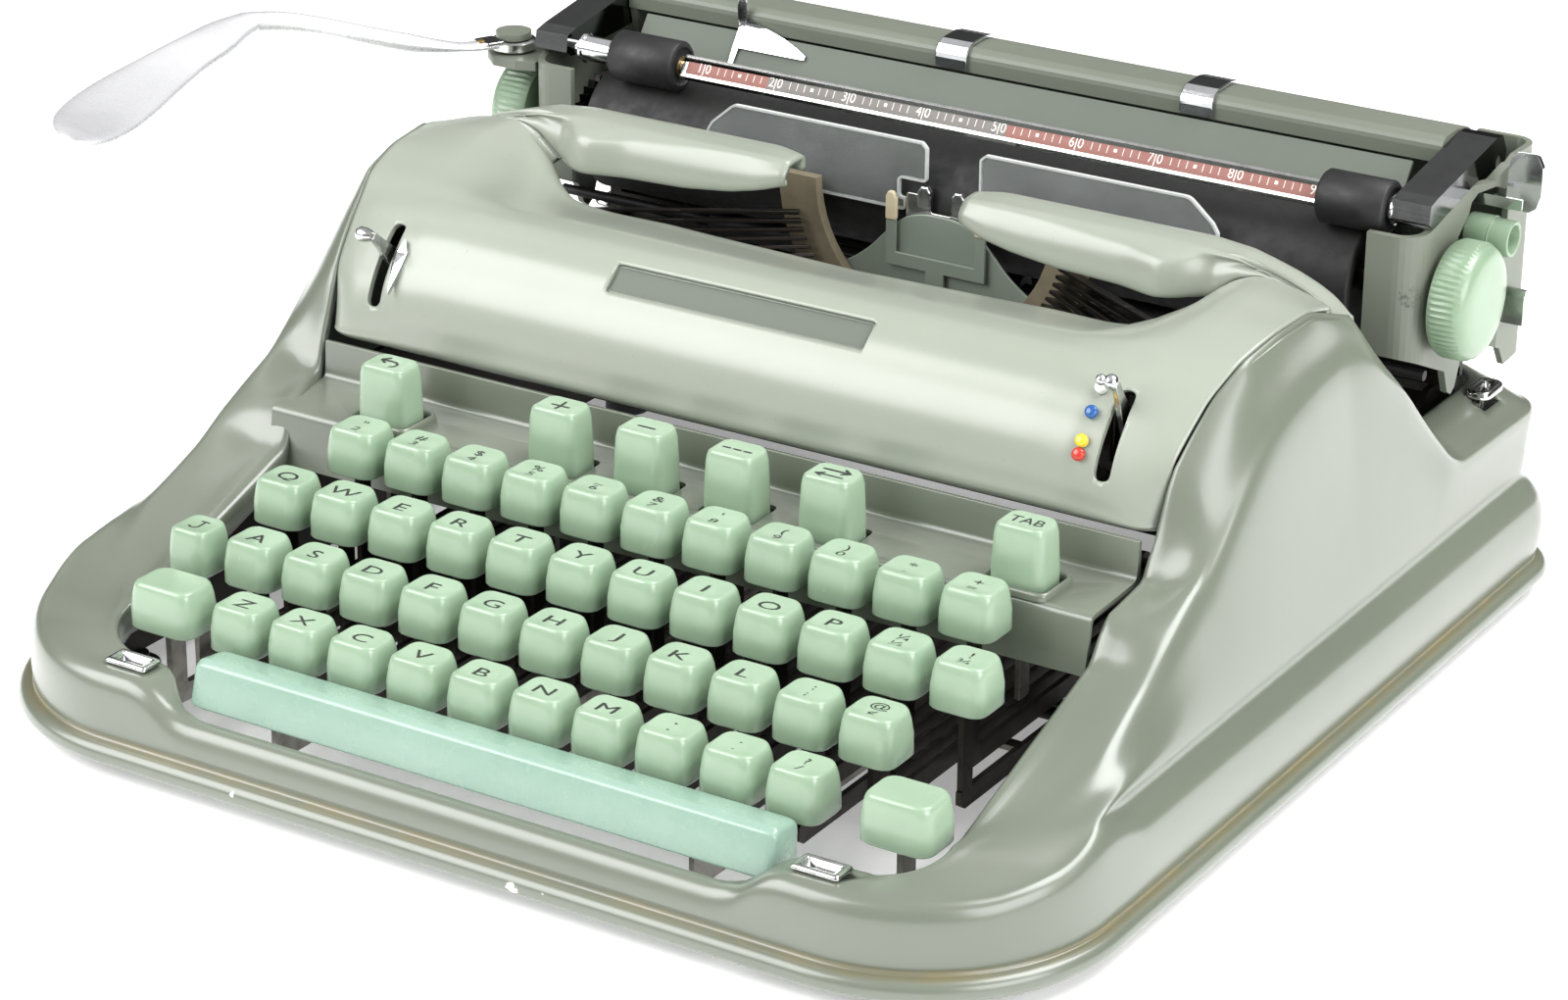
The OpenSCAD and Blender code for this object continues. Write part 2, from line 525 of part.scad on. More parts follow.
// Type bars: a middle one that works and a fan of resting ones
print_y = 250.9;
print_z = 104;
pivot_y = 242;
pivot_z = print_z - bar_ring_r;
swing_rest = 92;
module live_typebar() color(steel) {
  translate([0, pivot_y, pivot_z]) rotate([swing_rest, 0, 0]) translate([0, -pivot_y, -pivot_z])
    difference() {
      union() {
        xbar(-0.8, 0.8, [[pivot_y - 1.8, pivot_z], [pivot_y + 1.8, pivot_z], [246.4, 98], [246.4, 105],
          [243.4, 105], [243, 98]]);
        xcyl(-0.8, 0.8, pivot_y, pivot_z, 2.6);
        box([-2, 245, 99.7], [2, print_y, 107.6]);
      }
      xcyl(-2, 2, pivot_y, pivot_z, 1.2 + run_clear);
    }
}
head_r = 100;
bar_seat_y = 242.2;
module typebar_basket() color(steel) {
  for (s = [-1, 1]) for (i = [1 : bars_per_side]) {
    a = 4.5 + i * 71.5 / 21;
    p = [s * (bar_ring_r + 0.5) * sin(a), bar_seat_y + 0.8 * cos(a) * cos(a), print_z - (bar_ring_r + 0.5) * cos(a)];
    q = [s * head_r * sin(a), 193 + 24 * (1 - cos(a)), 103 - 42 * cos(a)];
    bar_between(p, q, 1.1, 3.2, s * a);
    d = unit(q - p);
    bar_between(q - d * 1, q + d * 3.4, 1.8, 7.5, s * a);
  }
}
module type_segment() color(dark_steel) {
  difference() {
    union() {
      ybar(243.6, 247, concat(arc(0, print_z, bar_ring_r + 7, 180, 360, 30),
        arc(0, print_z, bar_ring_r - 5.5, 360, 180, 30)));
      box([-40, 243.6, 26], [40, 246.9, 60]);
    }
    box([-1.2, 243, pivot_z - 3.4], [1.2, 245.6, pivot_z + 6.4]);
  }
  for (s = [-1, 1]) box([s * 2.3 - 0.9, 239.4, pivot_z - 3], [s * 2.3 + 0.9, 243.8, pivot_z + 3]);
  xcyl(-2.4, 2.4, pivot_y, pivot_z, 1.2);
}
shield_r = 33;
shield_top = 98.5;
module segment_shield() color(dark_green) {
  ybar(247.3, 248.3, concat(arc(0, shield_top - shield_r, shield_r, 8, 172, 28),
    [[-38, 62], [-38, 52], [38, 52], [38, 62]]));
}
module type_guide() color(chrome_c) {
  difference() {
    union() {
      box([-11.5, 248.7, 88], [11.5, 249.9, 103.5]);
      for (s = [-1, 1]) ybar(248.7, 250.3, [[s * 3.6, 100], [s * 7.4, 100], [s * 7.4, 104.5], [s * 6.6, 106],
        [s * 4.4, 106], [s * 3.6, 104.5]]);
    }
    box([-3.3, 248, 98.6], [3.3, 252, 110]);
    ycyl(0, 247, 252, 94, 1.6);
  }
}
module card_holders() color(clear_c) {
  ybar(248.9, 249.8, [[-79, 98], [-11.8, 98], [-11.8, 101.6], [-14, 101.6], [-14, 107.4], [-5, 107.4], [-5, 117.4], [-6.6, 119], [-70, 119],
    [-77.4, 112.6], [-79, 110]]);
  ybar(248.9, 249.8, [[14, 101.6], [11.8, 101.6], [11.8, 98], [87, 98], [87, 110], [85.4, 112.6], [78, 119], [14, 119], [12.2, 117.4],
    [12.2, 107.4], [14, 107.4]]);
}
module ribbon_vibrator() color(chrome_c) {
  for (s = [-1, 1]) box([s * 14.6 - 1.6, 245.6, 84], [s * 14.6 + 1.6, 246.6, 103]);
  box([-16.2, 245.6, 82], [16.2, 246.6, 86]);
  box([-3, 245.6, print_z - bar_ring_r + 5.5 + seat_gap], [3, 246.6, 83]);
}
module ribbon_spool(x) {
  difference() {
    union() {
      translate([x, 188, 58.3]) cylinder(h = 1, r = spool_r);
      translate([x, 188, 68.3]) cylinder(h = 1, r = spool_r);
      translate([x, 188, 58.8]) cylinder(h = 10, r = 5);
    }
    translate([x, 188, 50]) cylinder(h = 30, r = 2.5 + run_clear);
  }
}
module ribbon_spool_left() color(dark_steel) { ribbon_spool(-106); }
module ribbon_spool_right() color(dark_steel) { ribbon_spool(106); }
module mainspring_drum() color(steel) {
  translate([-105, drum_y, 0]) difference() {
    union() {
      translate([0, 0, 26.5]) cylinder(h = 14, r = 17);
      translate([0, 0, 26.3]) cylinder(h = 1, r = 18.5);
      translate([0, 0, 40]) cylinder(h = 1, r = 18.5);
    }
    translate([0, 0, 20]) cylinder(h = 30, r = 2.5 + run_clear);
  }
}
module escape_wheel() color(steel) {
  teeth = 20;
  difference() {
    union() {
      ybar(256, 258, [for (i = [0 : 2 * teeth - 1]) let (r = i % 2 == 0 ? 12 : 9.6, a = i * 180 / teeth)
        [20 + r * cos(a + (i % 2 == 0 ? 6 : 0)), 38 + r * sin(a + (i % 2 == 0 ? 6 : 0))]]);
      ycyl(20, 254, 262, 38, 5);
    }
    ycyl(20, 250, 265, 38, 2 + run_clear);
  }
}
module bell() color(chrome_c) {
  translate([100, bell_y, 27]) rotate_extrude($fn = 64)
    polygon(concat([[2.3, 15.2], [2.3, 16.4]], arc(0, 0, 16.4, 82, 3, 10), [[16.4, 0], [15.2, 0]],
      arc(0, 0, 15.2, 3, 81, 10)));
}

// Carriage: rail, truck, ends and covers
rail_half = 134.2;
end_in = 143;
end_out = 145;
module carriage_rail() color(steel) {
  xbar(-rail_half, rail_half, [[290, 60], [298, 60], [298, 66], [290, 66]]);
}
module carriage_frame() color(dark_steel) {
  xbar(-140, 140, [[288, 63.4], [289.7, 63.4], [289.7, 66.4], [298.3, 66.4], [298.3, 63.4], [300, 63.4],
    [300, 68.4], [288, 68.4]]);
  for (s = [-1, 1]) box([s * 138 - 2, 288, 68], [s * 138 + 2, 300, 78]);
  for (s = [-1, 1]) box([s * 138 - 4.8, 290, 72], [s * 138 + 4.8, 298, 78]);
}
end_side = [[251, 118], [257.6, 118.4], [290.6, 125], [293.5, 129.5], [298, 131], [316, 131], [316, 70],
  [300, 69], [296, 75], [290, 77.5], [286.5, 75], [283, 66.5], [280.5, 65], [278, 66.5], [275, 73.5],
  [266, 77.5], [256, 82], [251, 84]];
module end_sheet() {
  zbar(60, 140, concat([[129.5, 252.2], [137.5, 252.2]], arc(137.2, 260, 7.8, -88, -2, 7), [[end_out, 286]],
    [[152, 293.4], [152, 308]], arc(146, 308, 6, 2, 88, 5), [[134.2, 314]],
    [[134.2, 312.2], [146, 312.2]], arc(146, 308, 4.2, 88, 2, 5), [[150.2, 294.2], [end_in, 287]],
    [[end_in, 260]], arc(137.2, 260, 5.8, -2, -88, 7), [[129.5, 254.2]]));
}
module end_body() {
  intersection() {
    end_sheet();
    xbar(120, 160, end_side);
  }
}
module shaft_boss(r) {
  xcyl(end_in - 1.5, end_out + 0.6, 270, 97.5, r);
}
axle_y = 270;
axle_z = 97.5;
lever_pin_x = -157;
lever_pin_y = 262;
module carriage_end_left() color(dark_green) {
  difference() {
    union() {
      mirror([1, 0, 0]) end_body();
      mirror([1, 0, 0]) shaft_boss(7);
      zbar(114.6, 117.4, [[-144, 254.5], [-150, 252.5], [-158, 252.5], [-164, 258], [-164, 266], [-158, 271],
        [-144, 271]]);
      translate([lever_pin_x, lever_pin_y, 117]) cylinder(h = 5, r = 2.5);
      translate([lever_pin_x, lever_pin_y, 121.3]) cylinder(h = 2, r = 5.4);
    }
    xcyl(-170, -120, axle_y, axle_z, 3.5 + run_clear);
  }
}
small_knob_y = 288.6;
small_knob_z = 110.2;
release_y = 295;
release_z = 106;
window_side = [[278, 111.5], [280.8, 107], [283, 103.6], [286, 102.4], [295, 102.4], [295, 117], [293.4, 118.4],
  [293.4, 122.4], [291, 123.4], [287.2, 121.8], [284.6, 116.4]];
module carriage_end_right() color(dark_green) {
  difference() {
    union() {
      difference() {
        end_body();
        xbar(end_in - 2, 155, window_side);
      }
      shaft_boss(7);
      xbar(139.3, 140.8, [[273, 99], [280, 99], [290, 101], [299, 102], [299, 110], [294, 113.6], [284, 115], [273, 110]]);
      box([140.5, 274, 100], [end_in + 0.3, 277.5, 110]);
      xcyl(140.5, 153, small_knob_y, small_knob_z, 2);
      xcyl(140.5, 143, release_y, release_z, 1.6);
      xcyl(150.6, 155.6, 302, 87, 1.6);
    }
    xcyl(120, 170, axle_y, axle_z, 3.5 + run_clear);
  }
}
back_half = 133.6;
back_out = concat([[289.6, 127.4], [289.6, 131]], arc(293, 131, 3.4, 180, 100, 4), [[300, 134.6], [305, 133.6]],
  arc(303, 124, 10, 72, 4, 6), [[313, 118], [313, 70]]);
back_in = concat([[311.4, 70], [311.4, 118]], arc(303, 124, 8.4, 4, 72, 6), [[304.6, 132], [300, 133],
  [293, 132.8]], arc(293, 131, 1.8, 100, 180, 4), [[291.2, 127.4]]);
bail_y = 302;
bail_z = 126.5;
module carriage_back() color(dark_green) {
  xbar(-back_half, back_half, concat(back_out, back_in));
  for (s = [0, 1]) mirror([s, 0, 0]) {
    xbar(back_half - 2, back_half, concat([[292, 119]], arc(293, 129.6, 3.2, 180, 100, 4), [[300, 133.8], [305, 132.8],
      [312, 124], [312, 70], [306, 70], [304, 119]]));
    xcyl(back_half - 1, 145, bail_y, bail_z, 2);
  }
}
module paper_table() color(dark_green) {
  xbar(-126, 126, concat(arc(axle_y, axle_z, 21.4, -20, 60, 12), [[289.2, 126.4], [288.2, 127.2]],
    arc(axle_y, axle_z, 20.3, 61.5, -20, 12)));
}
module paper_guide() color(chrome_c) {
  xbar(-91.2, -68, [[284.26, 123.3], [287.18, 127.4], [288.1, 128.4], [288.1, 131.6], [288.75, 131.6], [288.75, 127.9],
    [287.67, 127.06], [284.75, 122.97]]);
  xbar(-93, -91, [[280.67, 118.29], [287.18, 127.4], [288.1, 128.4], [288.1, 138], [288.75, 138], [288.75, 127.9],
    [287.67, 127.06], [281.16, 117.94]]);
}
module rail_clips() color(chrome_c) {
  for (x = [-20.5, 59]) xbar(x - 5.2, x + 5.2, concat([[288.4, 128], [289.3, 128], [289.3, 131]],
    arc(293, 131, 3.7, 180, 100, 5), [[300, 134.95], [303.5, 134.3], [303.5, 135.4], [300, 136]],
    arc(293, 131, 4.7, 98, 180, 5), [[288.3, 131]]));
}
module platen() color(rubber_c) {
  difference() {
    xcyl(-platen_len / 2, platen_len / 2, axle_y, axle_z, platen_r);
    xcyl(-140, 140, axle_y, axle_z, platen_r - 3);
  }
}
module platen_shaft() color(steel) {
  xcyl(-162, 156, axle_y, axle_z, 3.5);
  for (s = [-1, 1]) xcyl(s * 120 - 2, s * 120 + 2, axle_y, axle_z, platen_r - 3.05);
  teeth = 32;
  translate([-130, 0, 0]) xbar(-1.2, 1.2, [for (i = [0 : 2 * teeth - 1]) let (r = i % 2 == 0 ? 15.6 : 13.8, a = i * 180 / teeth)
    [axle_y + r * cos(a), axle_z + r * sin(a)]]);
}
module ribbed_knob(x0, x1) {
  ribs = 60;
  difference() {
    union() {
      xbar(x0 + 1, x1 - 1, [for (i = [0 : 2 * ribs - 1]) let (r = i % 2 == 0 ? knob_r : knob_r - 0.5, a = i * 180 / ribs)
        [axle_y + r * cos(a), axle_z + r * sin(a)]]);
      xcyl(x0, x1, axle_y, axle_z, knob_r - 1.2);
    }
    xcyl(x0 - 1, x1 - 2, axle_y, axle_z, 3.5 + 0.02);
  }
}
module knob_right() color(mint) { ribbed_knob(147, 158.5); }
module knob_left() color(mint) { mirror([1, 0, 0]) ribbed_knob(150, 164.5); }
module small_knob() color(mint) {
  difference() {
    union() {
      xcyl(144, 151, small_knob_y, small_knob_z, small_knob_d / 2);
      xcyl(150, 157, small_knob_y, small_knob_z, small_knob_d / 2 - 0.5);
    }
    xcyl(153.2, 162, small_knob_y, small_knob_z, small_knob_d / 2 - 1.7);
    xcyl(140, 160, small_knob_y, small_knob_z, 2 + run_clear);
  }
}
bar_y = 261;
bar_z = 122.75;
module arm_plan(x0, x1) {
  xbar(x0, x1, [[256.6, 121.6], [259, 119.9], [263, 119.9], [301, 127.6 - 5], [306, 124], [307, 128.6],
    [304, 133.6], [300, 133.9], [262, 127.8], [257.4, 126.6]]);
}
module paper_bail() color(chrome_c) {
  difference() {
    union() {
      for (s = [0, 1]) mirror([s, 0, 0]) difference() {
        arm_plan(134, 145.4);
        xbar(135.2, 144.2, [[250, 110], [320, 110], [320, 120], [301, 132.4], [262, 126.4], [262, 110]]);
      }
      for (s = [0, 1]) mirror([s, 0, 0]) arm_plan(134, 135.2);
      xcyl(-136, 136, bar_y, bar_z, 1.6);
      box([-94, bar_y - 1.2, bar_z - 3.4], [111, bar_y - 0.2, bar_z + 3.4]);
    }
    for (s = [0, 1]) mirror([s, 0, 0]) {
      xcyl(130, 150, bail_y, bail_z, 2 + run_clear);
      xbar(end_in - 0.4, 146, [[261, 110], [263, 120], [290.4, 125.6], [290.8, 118], [291, 110]]);
    }
  }
}
module bail_rollers() color(rubber_c) {
  for (p = [[-118, -95.5], [112.5, 133]]) difference() {
    xcyl(p[0], p[1], bar_y, bar_z, bail_roller_r);
    xcyl(p[0] - 1, p[1] + 1, bar_y, bar_z, 1.6 + run_clear);
  }
}
lever_path = [[-157, 255.5, 120.6], [-161, 250, 123], [-168, 236, 125.6], [-183, 220, 129], [-202, 206, 132],
  [-208, 195, 133], [-205, 169, 132.6], [-198, 140, 132], [-194.5, 114, 132], [-197, 104, 131.4]];
module return_lever() color(chrome_c) {
  difference() {
    union() {
      translate([lever_pin_x, lever_pin_y, 117.7]) cylinder(h = 3.3, r = 7);
      for (i = [0 : len(lever_path) - 2]) {
        bar_between(lever_path[i], lever_path[i + 1], i > 6 ? 11 : i > 5 ? 9 : 7, 5.6, 0);
        translate(lever_path[i + 1]) cylinder(h = 5.2, r = i > 6 ? 5.4 : i > 5 ? 4.6 : 3.6, center = true);
      }
      translate([-158, 256.2, 120.5]) cube([6, 5, 5.6], center = true);
    }
    translate([lever_pin_x, lever_pin_y, 100]) cylinder(h = 30, r = 2.5 + run_clear);
    translate([lever_pin_x, lever_pin_y, 121]) cylinder(h = 8, r = 5.8);
  }
}
module paper_release_lever() color(chrome_c) {
  difference() {
    union() {
      xbar(141.2, 142.4, concat(arc(release_y, release_z, 3.2, 200, 380, 8), [[292.4, 118], [292, 121.2], [290, 121.2],
        [290, 118], [292.6, 110]]));
      xbar(141.2, 158, [[290, 118], [291.6, 118], [291.6, 121.2], [290, 121.2]]);
      intersection() {
        xbar(153, 163, [[290, 118], [291.6, 118], [292.4, 126], [291.8, 134.2], [290.2, 134.8], [290.7, 126]]);
        ybar(285, 296, [[153, 119.5], [154.6, 118], [160, 118], [162, 119.4], [163, 123], [163, 131], [161.6, 134],
          [159, 135], [155.5, 134.6], [153.8, 132.6], [153, 129]]);
      }
    }
    xcyl(140, 160, release_y, release_z, 1.6 + run_clear);
  }
}
module carriage_release_lever() color(chrome_c) {
  difference() {
    union() {
      xbar(152.6, 154.2, concat(arc(302, 87, 4, -90, 90, 8), [[291, 95.2], [290.5, 93.4], [290.5, 85]]));
      xbar(152.6, 160.6, [[290.5, 85], [292.1, 85], [292.1, 95.2], [291, 95.2], [290.5, 93.8]]);
    }
    xcyl(150, 160, 302, 87, 1.6 + run_clear);
  }
}
module feed_rollers() color(rubber_c) {
  xcyl(-142.7, 142.7, 267, 74.4, 1.5);
  for (x = [-70, 0, 70]) xcyl(x - 18, x + 18, 267, 74.4, 4);
}

// Space bar, shift keys, shift lock and the six tall keys
arm_y = 150;
arm_z = 7;
module pivot_arm(x, t, y, ztop) {
  difference() {
    union() {
      xbar(x - t / 2, x + t / 2, [[y - 3, 5.6], [y + 3, 5.2], [arm_y, 3], [arm_y + 4, 6], [arm_y, 11],
        [y + 3, 10.4], [y + 3, ztop], [y - 3, ztop]]);
      xcyl(x - t / 2, x + t / 2, arm_y, arm_z, 4);
    }
    xcyl(x - 5, x + 5, arm_y, arm_z, 2 + run_clear);
  }
}
module space_bar() color(bar_mint) {
  intersection() {
    xbar(-86, 91, [[13, 17.5], [27.6, 17.5], [27.6, 27.6], [26, 29.6], [18.6, 30], [16.6, 28.8]]);
    ybar(0, 40, [[-86, 15], [85.5, 15], [86, 17.5], [90.4, 25.6], [88, 28.6], [86.2, 31], [-81.6, 31], [-83.4, 28.4], [-86, 20]]);
  }
  pivot_arm(-62.93, lever_t, 22, 18);
  pivot_arm(65.33, lever_t, 22, 18);
}
module shift_keys() color(mint) {
  translate([-106, 33, 41]) cap(19, 13, 21, 15.6, 13, false);
  translate([117.5, 33, 41]) cap(19, 13, 21, 15.6, 13, false);
  pivot_arm(-106, 2, 33, 28.5);
  pivot_arm(117.5, 2, 33, 28.5);
  box([-106.9, 136, 0.2], [-105.1, 140, 5]);
  box([116.6, 136, 0.2], [118.4, 140, 5]);
  box([-106.9, 136, 0.2], [118.4, 140, 2.3]);
}
module shift_lock() color(mint) {
  translate([-112.4, 52, 48.8]) cap(11, 11, 13, 14, 13, false);
  pivot_arm(-112.4, lever_t, 52, 36.3);
}
module tall_key(x) color(mint) {
  translate([x, tall_y, tall_z]) cap(tall_w - 2.4, tall_d - 2.4, tall_w, tall_d, tall_h, true);
  box([x - 0.8, tall_y - 2.5, 30], [x + 0.8, tall_y + 2.5, tall_z - tall_h + 0.5]);
}
module key_backspace() { tall_key(tall_x[0]); }
module key_plus() { tall_key(tall_x[1]); }
module key_minus() { tall_key(tall_x[2]); }
module key_dashes() { tall_key(tall_x[3]); }
module key_arrows() { tall_key(tall_x[4]); }
module key_tab() { tall_key(tall_x[5]); }

// Moves a sub-part from case coordinates to the bottom centre of the whole
module placed() {
  translate([origin_x, origin_y, origin_z]) children();
}
placed() body_shell();
placed() main_frame();
placed() rubber_feet();
placed() case_catches();
placed() top_cover();
placed() badge_plate();
placed() cover_brackets();
placed() pointer_ornament();
placed() selector_dots();
placed() touch_lever();
placed() ribbon_selector();
placed() keys_number_row();
placed() keys_upper_row();
placed() keys_home_row();
placed() keys_lower_row();
placed() levers_number_row();
placed() levers_upper_row();
placed() levers_home_row();
placed() levers_lower_row();
placed() live_key();
placed() live_typebar();
placed() typebar_basket();
placed() type_segment();
placed() segment_shield();
placed() type_guide();
placed() card_holders();
placed() ribbon_spool_left();
placed() ribbon_spool_right();
placed() ribbon_vibrator();
placed() mainspring_drum();
placed() escape_wheel();
placed() bell();
placed() carriage_rail();
placed() carriage_frame();
placed() carriage_end_left();
placed() carriage_end_right();
placed() carriage_back();
placed() paper_table();
placed() paper_guide();
placed() rail_clips();
placed() platen();
placed() platen_shaft();
placed() knob_left();
placed() knob_right();
placed() small_knob();
placed() paper_bail();
placed() bail_rollers();
placed() return_lever();
placed() paper_release_lever();
placed() carriage_release_lever();
placed() feed_rollers();
placed() space_bar();
placed() shift_keys();
placed() shift_lock();
placed() key_backspace();
placed() key_plus();
placed() key_minus();
placed() key_dashes();
placed() key_arrows();
placed() key_tab();
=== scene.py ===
import json
import math
import bpy
import bmesh
import numpy as np
from mathutils import Matrix, Vector

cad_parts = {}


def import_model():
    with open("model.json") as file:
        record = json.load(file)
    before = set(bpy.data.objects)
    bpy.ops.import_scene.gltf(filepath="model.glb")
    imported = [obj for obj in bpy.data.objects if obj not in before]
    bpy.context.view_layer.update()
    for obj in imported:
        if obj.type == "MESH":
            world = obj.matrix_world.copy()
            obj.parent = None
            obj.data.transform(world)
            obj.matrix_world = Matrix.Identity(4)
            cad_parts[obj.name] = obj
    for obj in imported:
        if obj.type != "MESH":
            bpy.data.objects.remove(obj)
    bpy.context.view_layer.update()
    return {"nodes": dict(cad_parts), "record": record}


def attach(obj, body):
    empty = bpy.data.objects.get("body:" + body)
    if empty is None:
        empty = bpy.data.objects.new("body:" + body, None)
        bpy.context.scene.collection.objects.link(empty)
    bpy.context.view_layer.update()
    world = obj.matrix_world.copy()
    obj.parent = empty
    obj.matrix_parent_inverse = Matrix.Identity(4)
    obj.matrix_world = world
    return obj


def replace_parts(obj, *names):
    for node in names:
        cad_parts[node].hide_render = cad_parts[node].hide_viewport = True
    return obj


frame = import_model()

# Case coordinates in millimetres: x from the middle, y from the front edge, z from the rim
SHIFT = np.array([23.725, -165.5, 4.0])
MM = 0.001
GROOVE_Z = 6.7


def world(points):
    return (np.asarray(points, float) + SHIFT) * MM


def put(name, data):
    obj = bpy.data.objects.new(name, data)
    bpy.context.scene.collection.objects.link(obj)
    return obj


def srgb(r, g, b):
    out = []
    for c in (r, g, b):
        c = c / 255
        out.append(c / 12.92 if c <= 0.04045 else ((c + 0.055) / 1.055) ** 2.4)
    return (*out, 1.0)


# Camera solved from the photograph
AZ, EL, ROLL = (math.radians(a) for a in (31.84, 23.26, 0.435))
CAMERA_AT = [576.9, -763.4, 510.8]
LENS = 99.74
cam_data = bpy.data.cameras.new("camera")
cam_data.sensor_width = 36
cam_data.lens = LENS
cam_data.clip_start = 0.05
cam_data.clip_end = 20
camera = put("camera", cam_data)
forward = Vector((-math.sin(AZ) * math.cos(EL), math.cos(AZ) * math.cos(EL), -math.sin(EL)))
right = forward.cross(Vector((0, 0, 1))).normalized()
up = right.cross(forward)
right_r = right * math.cos(ROLL) + up * math.sin(ROLL)
up_r = up * math.cos(ROLL) - right * math.sin(ROLL)
cam_matrix = Matrix((right_r, up_r, -forward)).transposed().to_4x4()
cam_matrix.translation = Vector(world(CAMERA_AT))
camera.matrix_world = cam_matrix
bpy.context.scene.camera = camera


# Materials
class Nodes:
    """Builds the node tree of one material or of the world."""

    def __init__(self, owner):
        owner.use_nodes = True
        self.owner = owner
        self.tree = owner.node_tree
        self.bsdf = self.tree.nodes.get("Principled BSDF")
        self.coords = self.add("ShaderNodeTexCoord", {}).outputs
        self.coord = self.coords["Object"]

    def feed(self, socket, value):
        """Links a socket to another one or sets its value."""
        if isinstance(value, bpy.types.NodeSocket):
            self.tree.links.new(value, socket)
        else:
            socket.default_value = value

    def add(self, kind, inputs, **settings):
        node = self.tree.nodes.new(kind)
        for key, value in settings.items():
            setattr(node, key, value)
        for key, value in inputs.items():
            self.feed(node.inputs[key], value)
        return node

    def shade(self, **inputs):
        """Inputs of the shader by name, with an underscore for each space."""
        for key, value in inputs.items():
            self.feed(self.bsdf.inputs[key.replace("_", " ")], value)

    def noise(self, scale, detail=3.0, rough=0.5, vector=None):
        inputs = {"Vector": vector or self.coord, "Scale": scale, "Detail": detail, "Roughness": rough}
        return self.add("ShaderNodeTexNoise", inputs).outputs["Fac"]

    def ramp(self, source, start, end, low=0.0, high=1.0):
        """Grey from low at the start to high at the end."""
        node = self.add("ShaderNodeValToRGB", {"Fac": source})
        for element, place, grey in zip(node.color_ramp.elements, (start, end), (low, high)):
            element.position = place
            element.color = (grey, grey, grey, 1)
        return node.outputs["Color"]

    def mix(self, fac, a, b):
        return self.add("ShaderNodeMix", {0: fac, 6: a, 7: b}, data_type="RGBA").outputs[2]

    def math(self, operation, a, b=0.0):
        return self.add("ShaderNodeMath", {0: a, 1: b}, operation=operation).outputs[0]

    def times(self, a, b):
        return self.math("MULTIPLY", a, b)

    def stretched(self, scale, turn=(0, 0, 0)):
        inputs = {"Vector": self.coord, "Scale": scale, "Rotation": turn}
        return self.add("ShaderNodeMapping", inputs).outputs["Vector"]

    def bump(self, height, strength):
        inputs = {"Height": height, "Strength": strength, "Distance": 0.0002}
        self.shade(Normal=self.add("ShaderNodeBump", inputs).outputs["Normal"])

    def spot(self, x, y, z, radius):
        """1 within the radius of a point in case coordinates, fading to 0 outside it."""
        ends = {0: self.coord, 1: tuple(world([x, y, z]))}
        away = self.add("ShaderNodeVectorMath", ends, operation="DISTANCE").outputs["Value"]
        ragged = self.math("ADD", away, self.times(self.noise(900), radius * MM * 0.9))
        return self.ramp(self.math("DIVIDE", ragged, radius * MM), 0.8, 0.98, 1.0, 0.0)


def paint(name, light, dark, rough, coat, chips=(), smudges=(), groove=False):
    m = Nodes(bpy.data.materials.new(name))
    light, dark = srgb(*light), srgb(*dark)
    col = m.mix(m.ramp(m.noise(9), 0.3, 0.7), light, dark)
    grain = m.ramp(m.noise(160, 4, 0.6), 0.35, 0.75)
    col = m.mix(m.times(grain, 0.05), col, tuple(c * 0.7 for c in dark[:3]) + (1,))
    speck = m.ramp(m.noise(700, 2), 0.73, 0.76)
    col = m.mix(m.times(speck, 0.35), col, srgb(120, 122, 106))
    if groove:
        z = m.add("ShaderNodeSeparateXYZ", {"Vector": m.coord}).outputs["Z"]
        band = m.math("ABSOLUTE", m.math("SUBTRACT", z, (GROOVE_Z + SHIFT[2]) * MM))
        line = m.ramp(m.times(band, 600), 0.25, 0.75, 1.0, 0.0)
        grime = m.times(line, m.ramp(m.noise(45, 4, 0.7), 0.32, 0.62, 0.15, 0.8))
        col = m.mix(grime, col, srgb(128, 118, 84))
    for smudge in smudges:
        mask = m.times(m.spot(*smudge), m.ramp(m.noise(420, 4, 0.7), 0.42, 0.6, 0.0, 0.75))
        col = m.mix(mask, col, srgb(58, 58, 52))
    for chip in chips:
        col = m.mix(m.spot(*chip), col, srgb(236, 236, 228))
    streak = m.noise(30, 5, 0.6, m.stretched((1, 2.2, 1), (0.2, 0.3, 0.6)))
    m.shade(Base_Color=col, Roughness=m.ramp(streak, 0.3, 0.75, rough - 0.012, rough + 0.02),
            Coat_Weight=coat, Coat_Roughness=0.22)
    m.bump(m.math("ADD", m.noise(330, 2), m.times(m.noise(60, 2), 0.5)), 0.035)
    return m.owner


def plastic(name, light, dark, rough=0.24):
    m = Nodes(bpy.data.materials.new(name))
    col = m.mix(m.ramp(m.noise(70), 0.3, 0.72), srgb(*light), srgb(*dark))
    dust = m.ramp(m.noise(900, 2, 0.6), 0.66, 0.74)
    m.shade(Base_Color=m.mix(m.times(dust, 0.16), col, srgb(120, 140, 112)),
            Roughness=m.ramp(m.noise(220, 4, 0.6), 0.3, 0.75, rough - 0.02, rough + 0.04),
            Coat_Weight=0.4, Coat_Roughness=0.12, Subsurface_Weight=0.06,
            Subsurface_Radius=(0.6, 1.0, 0.7), Subsurface_Scale=0.002)
    m.bump(m.noise(260), 0.03)
    return m.owner


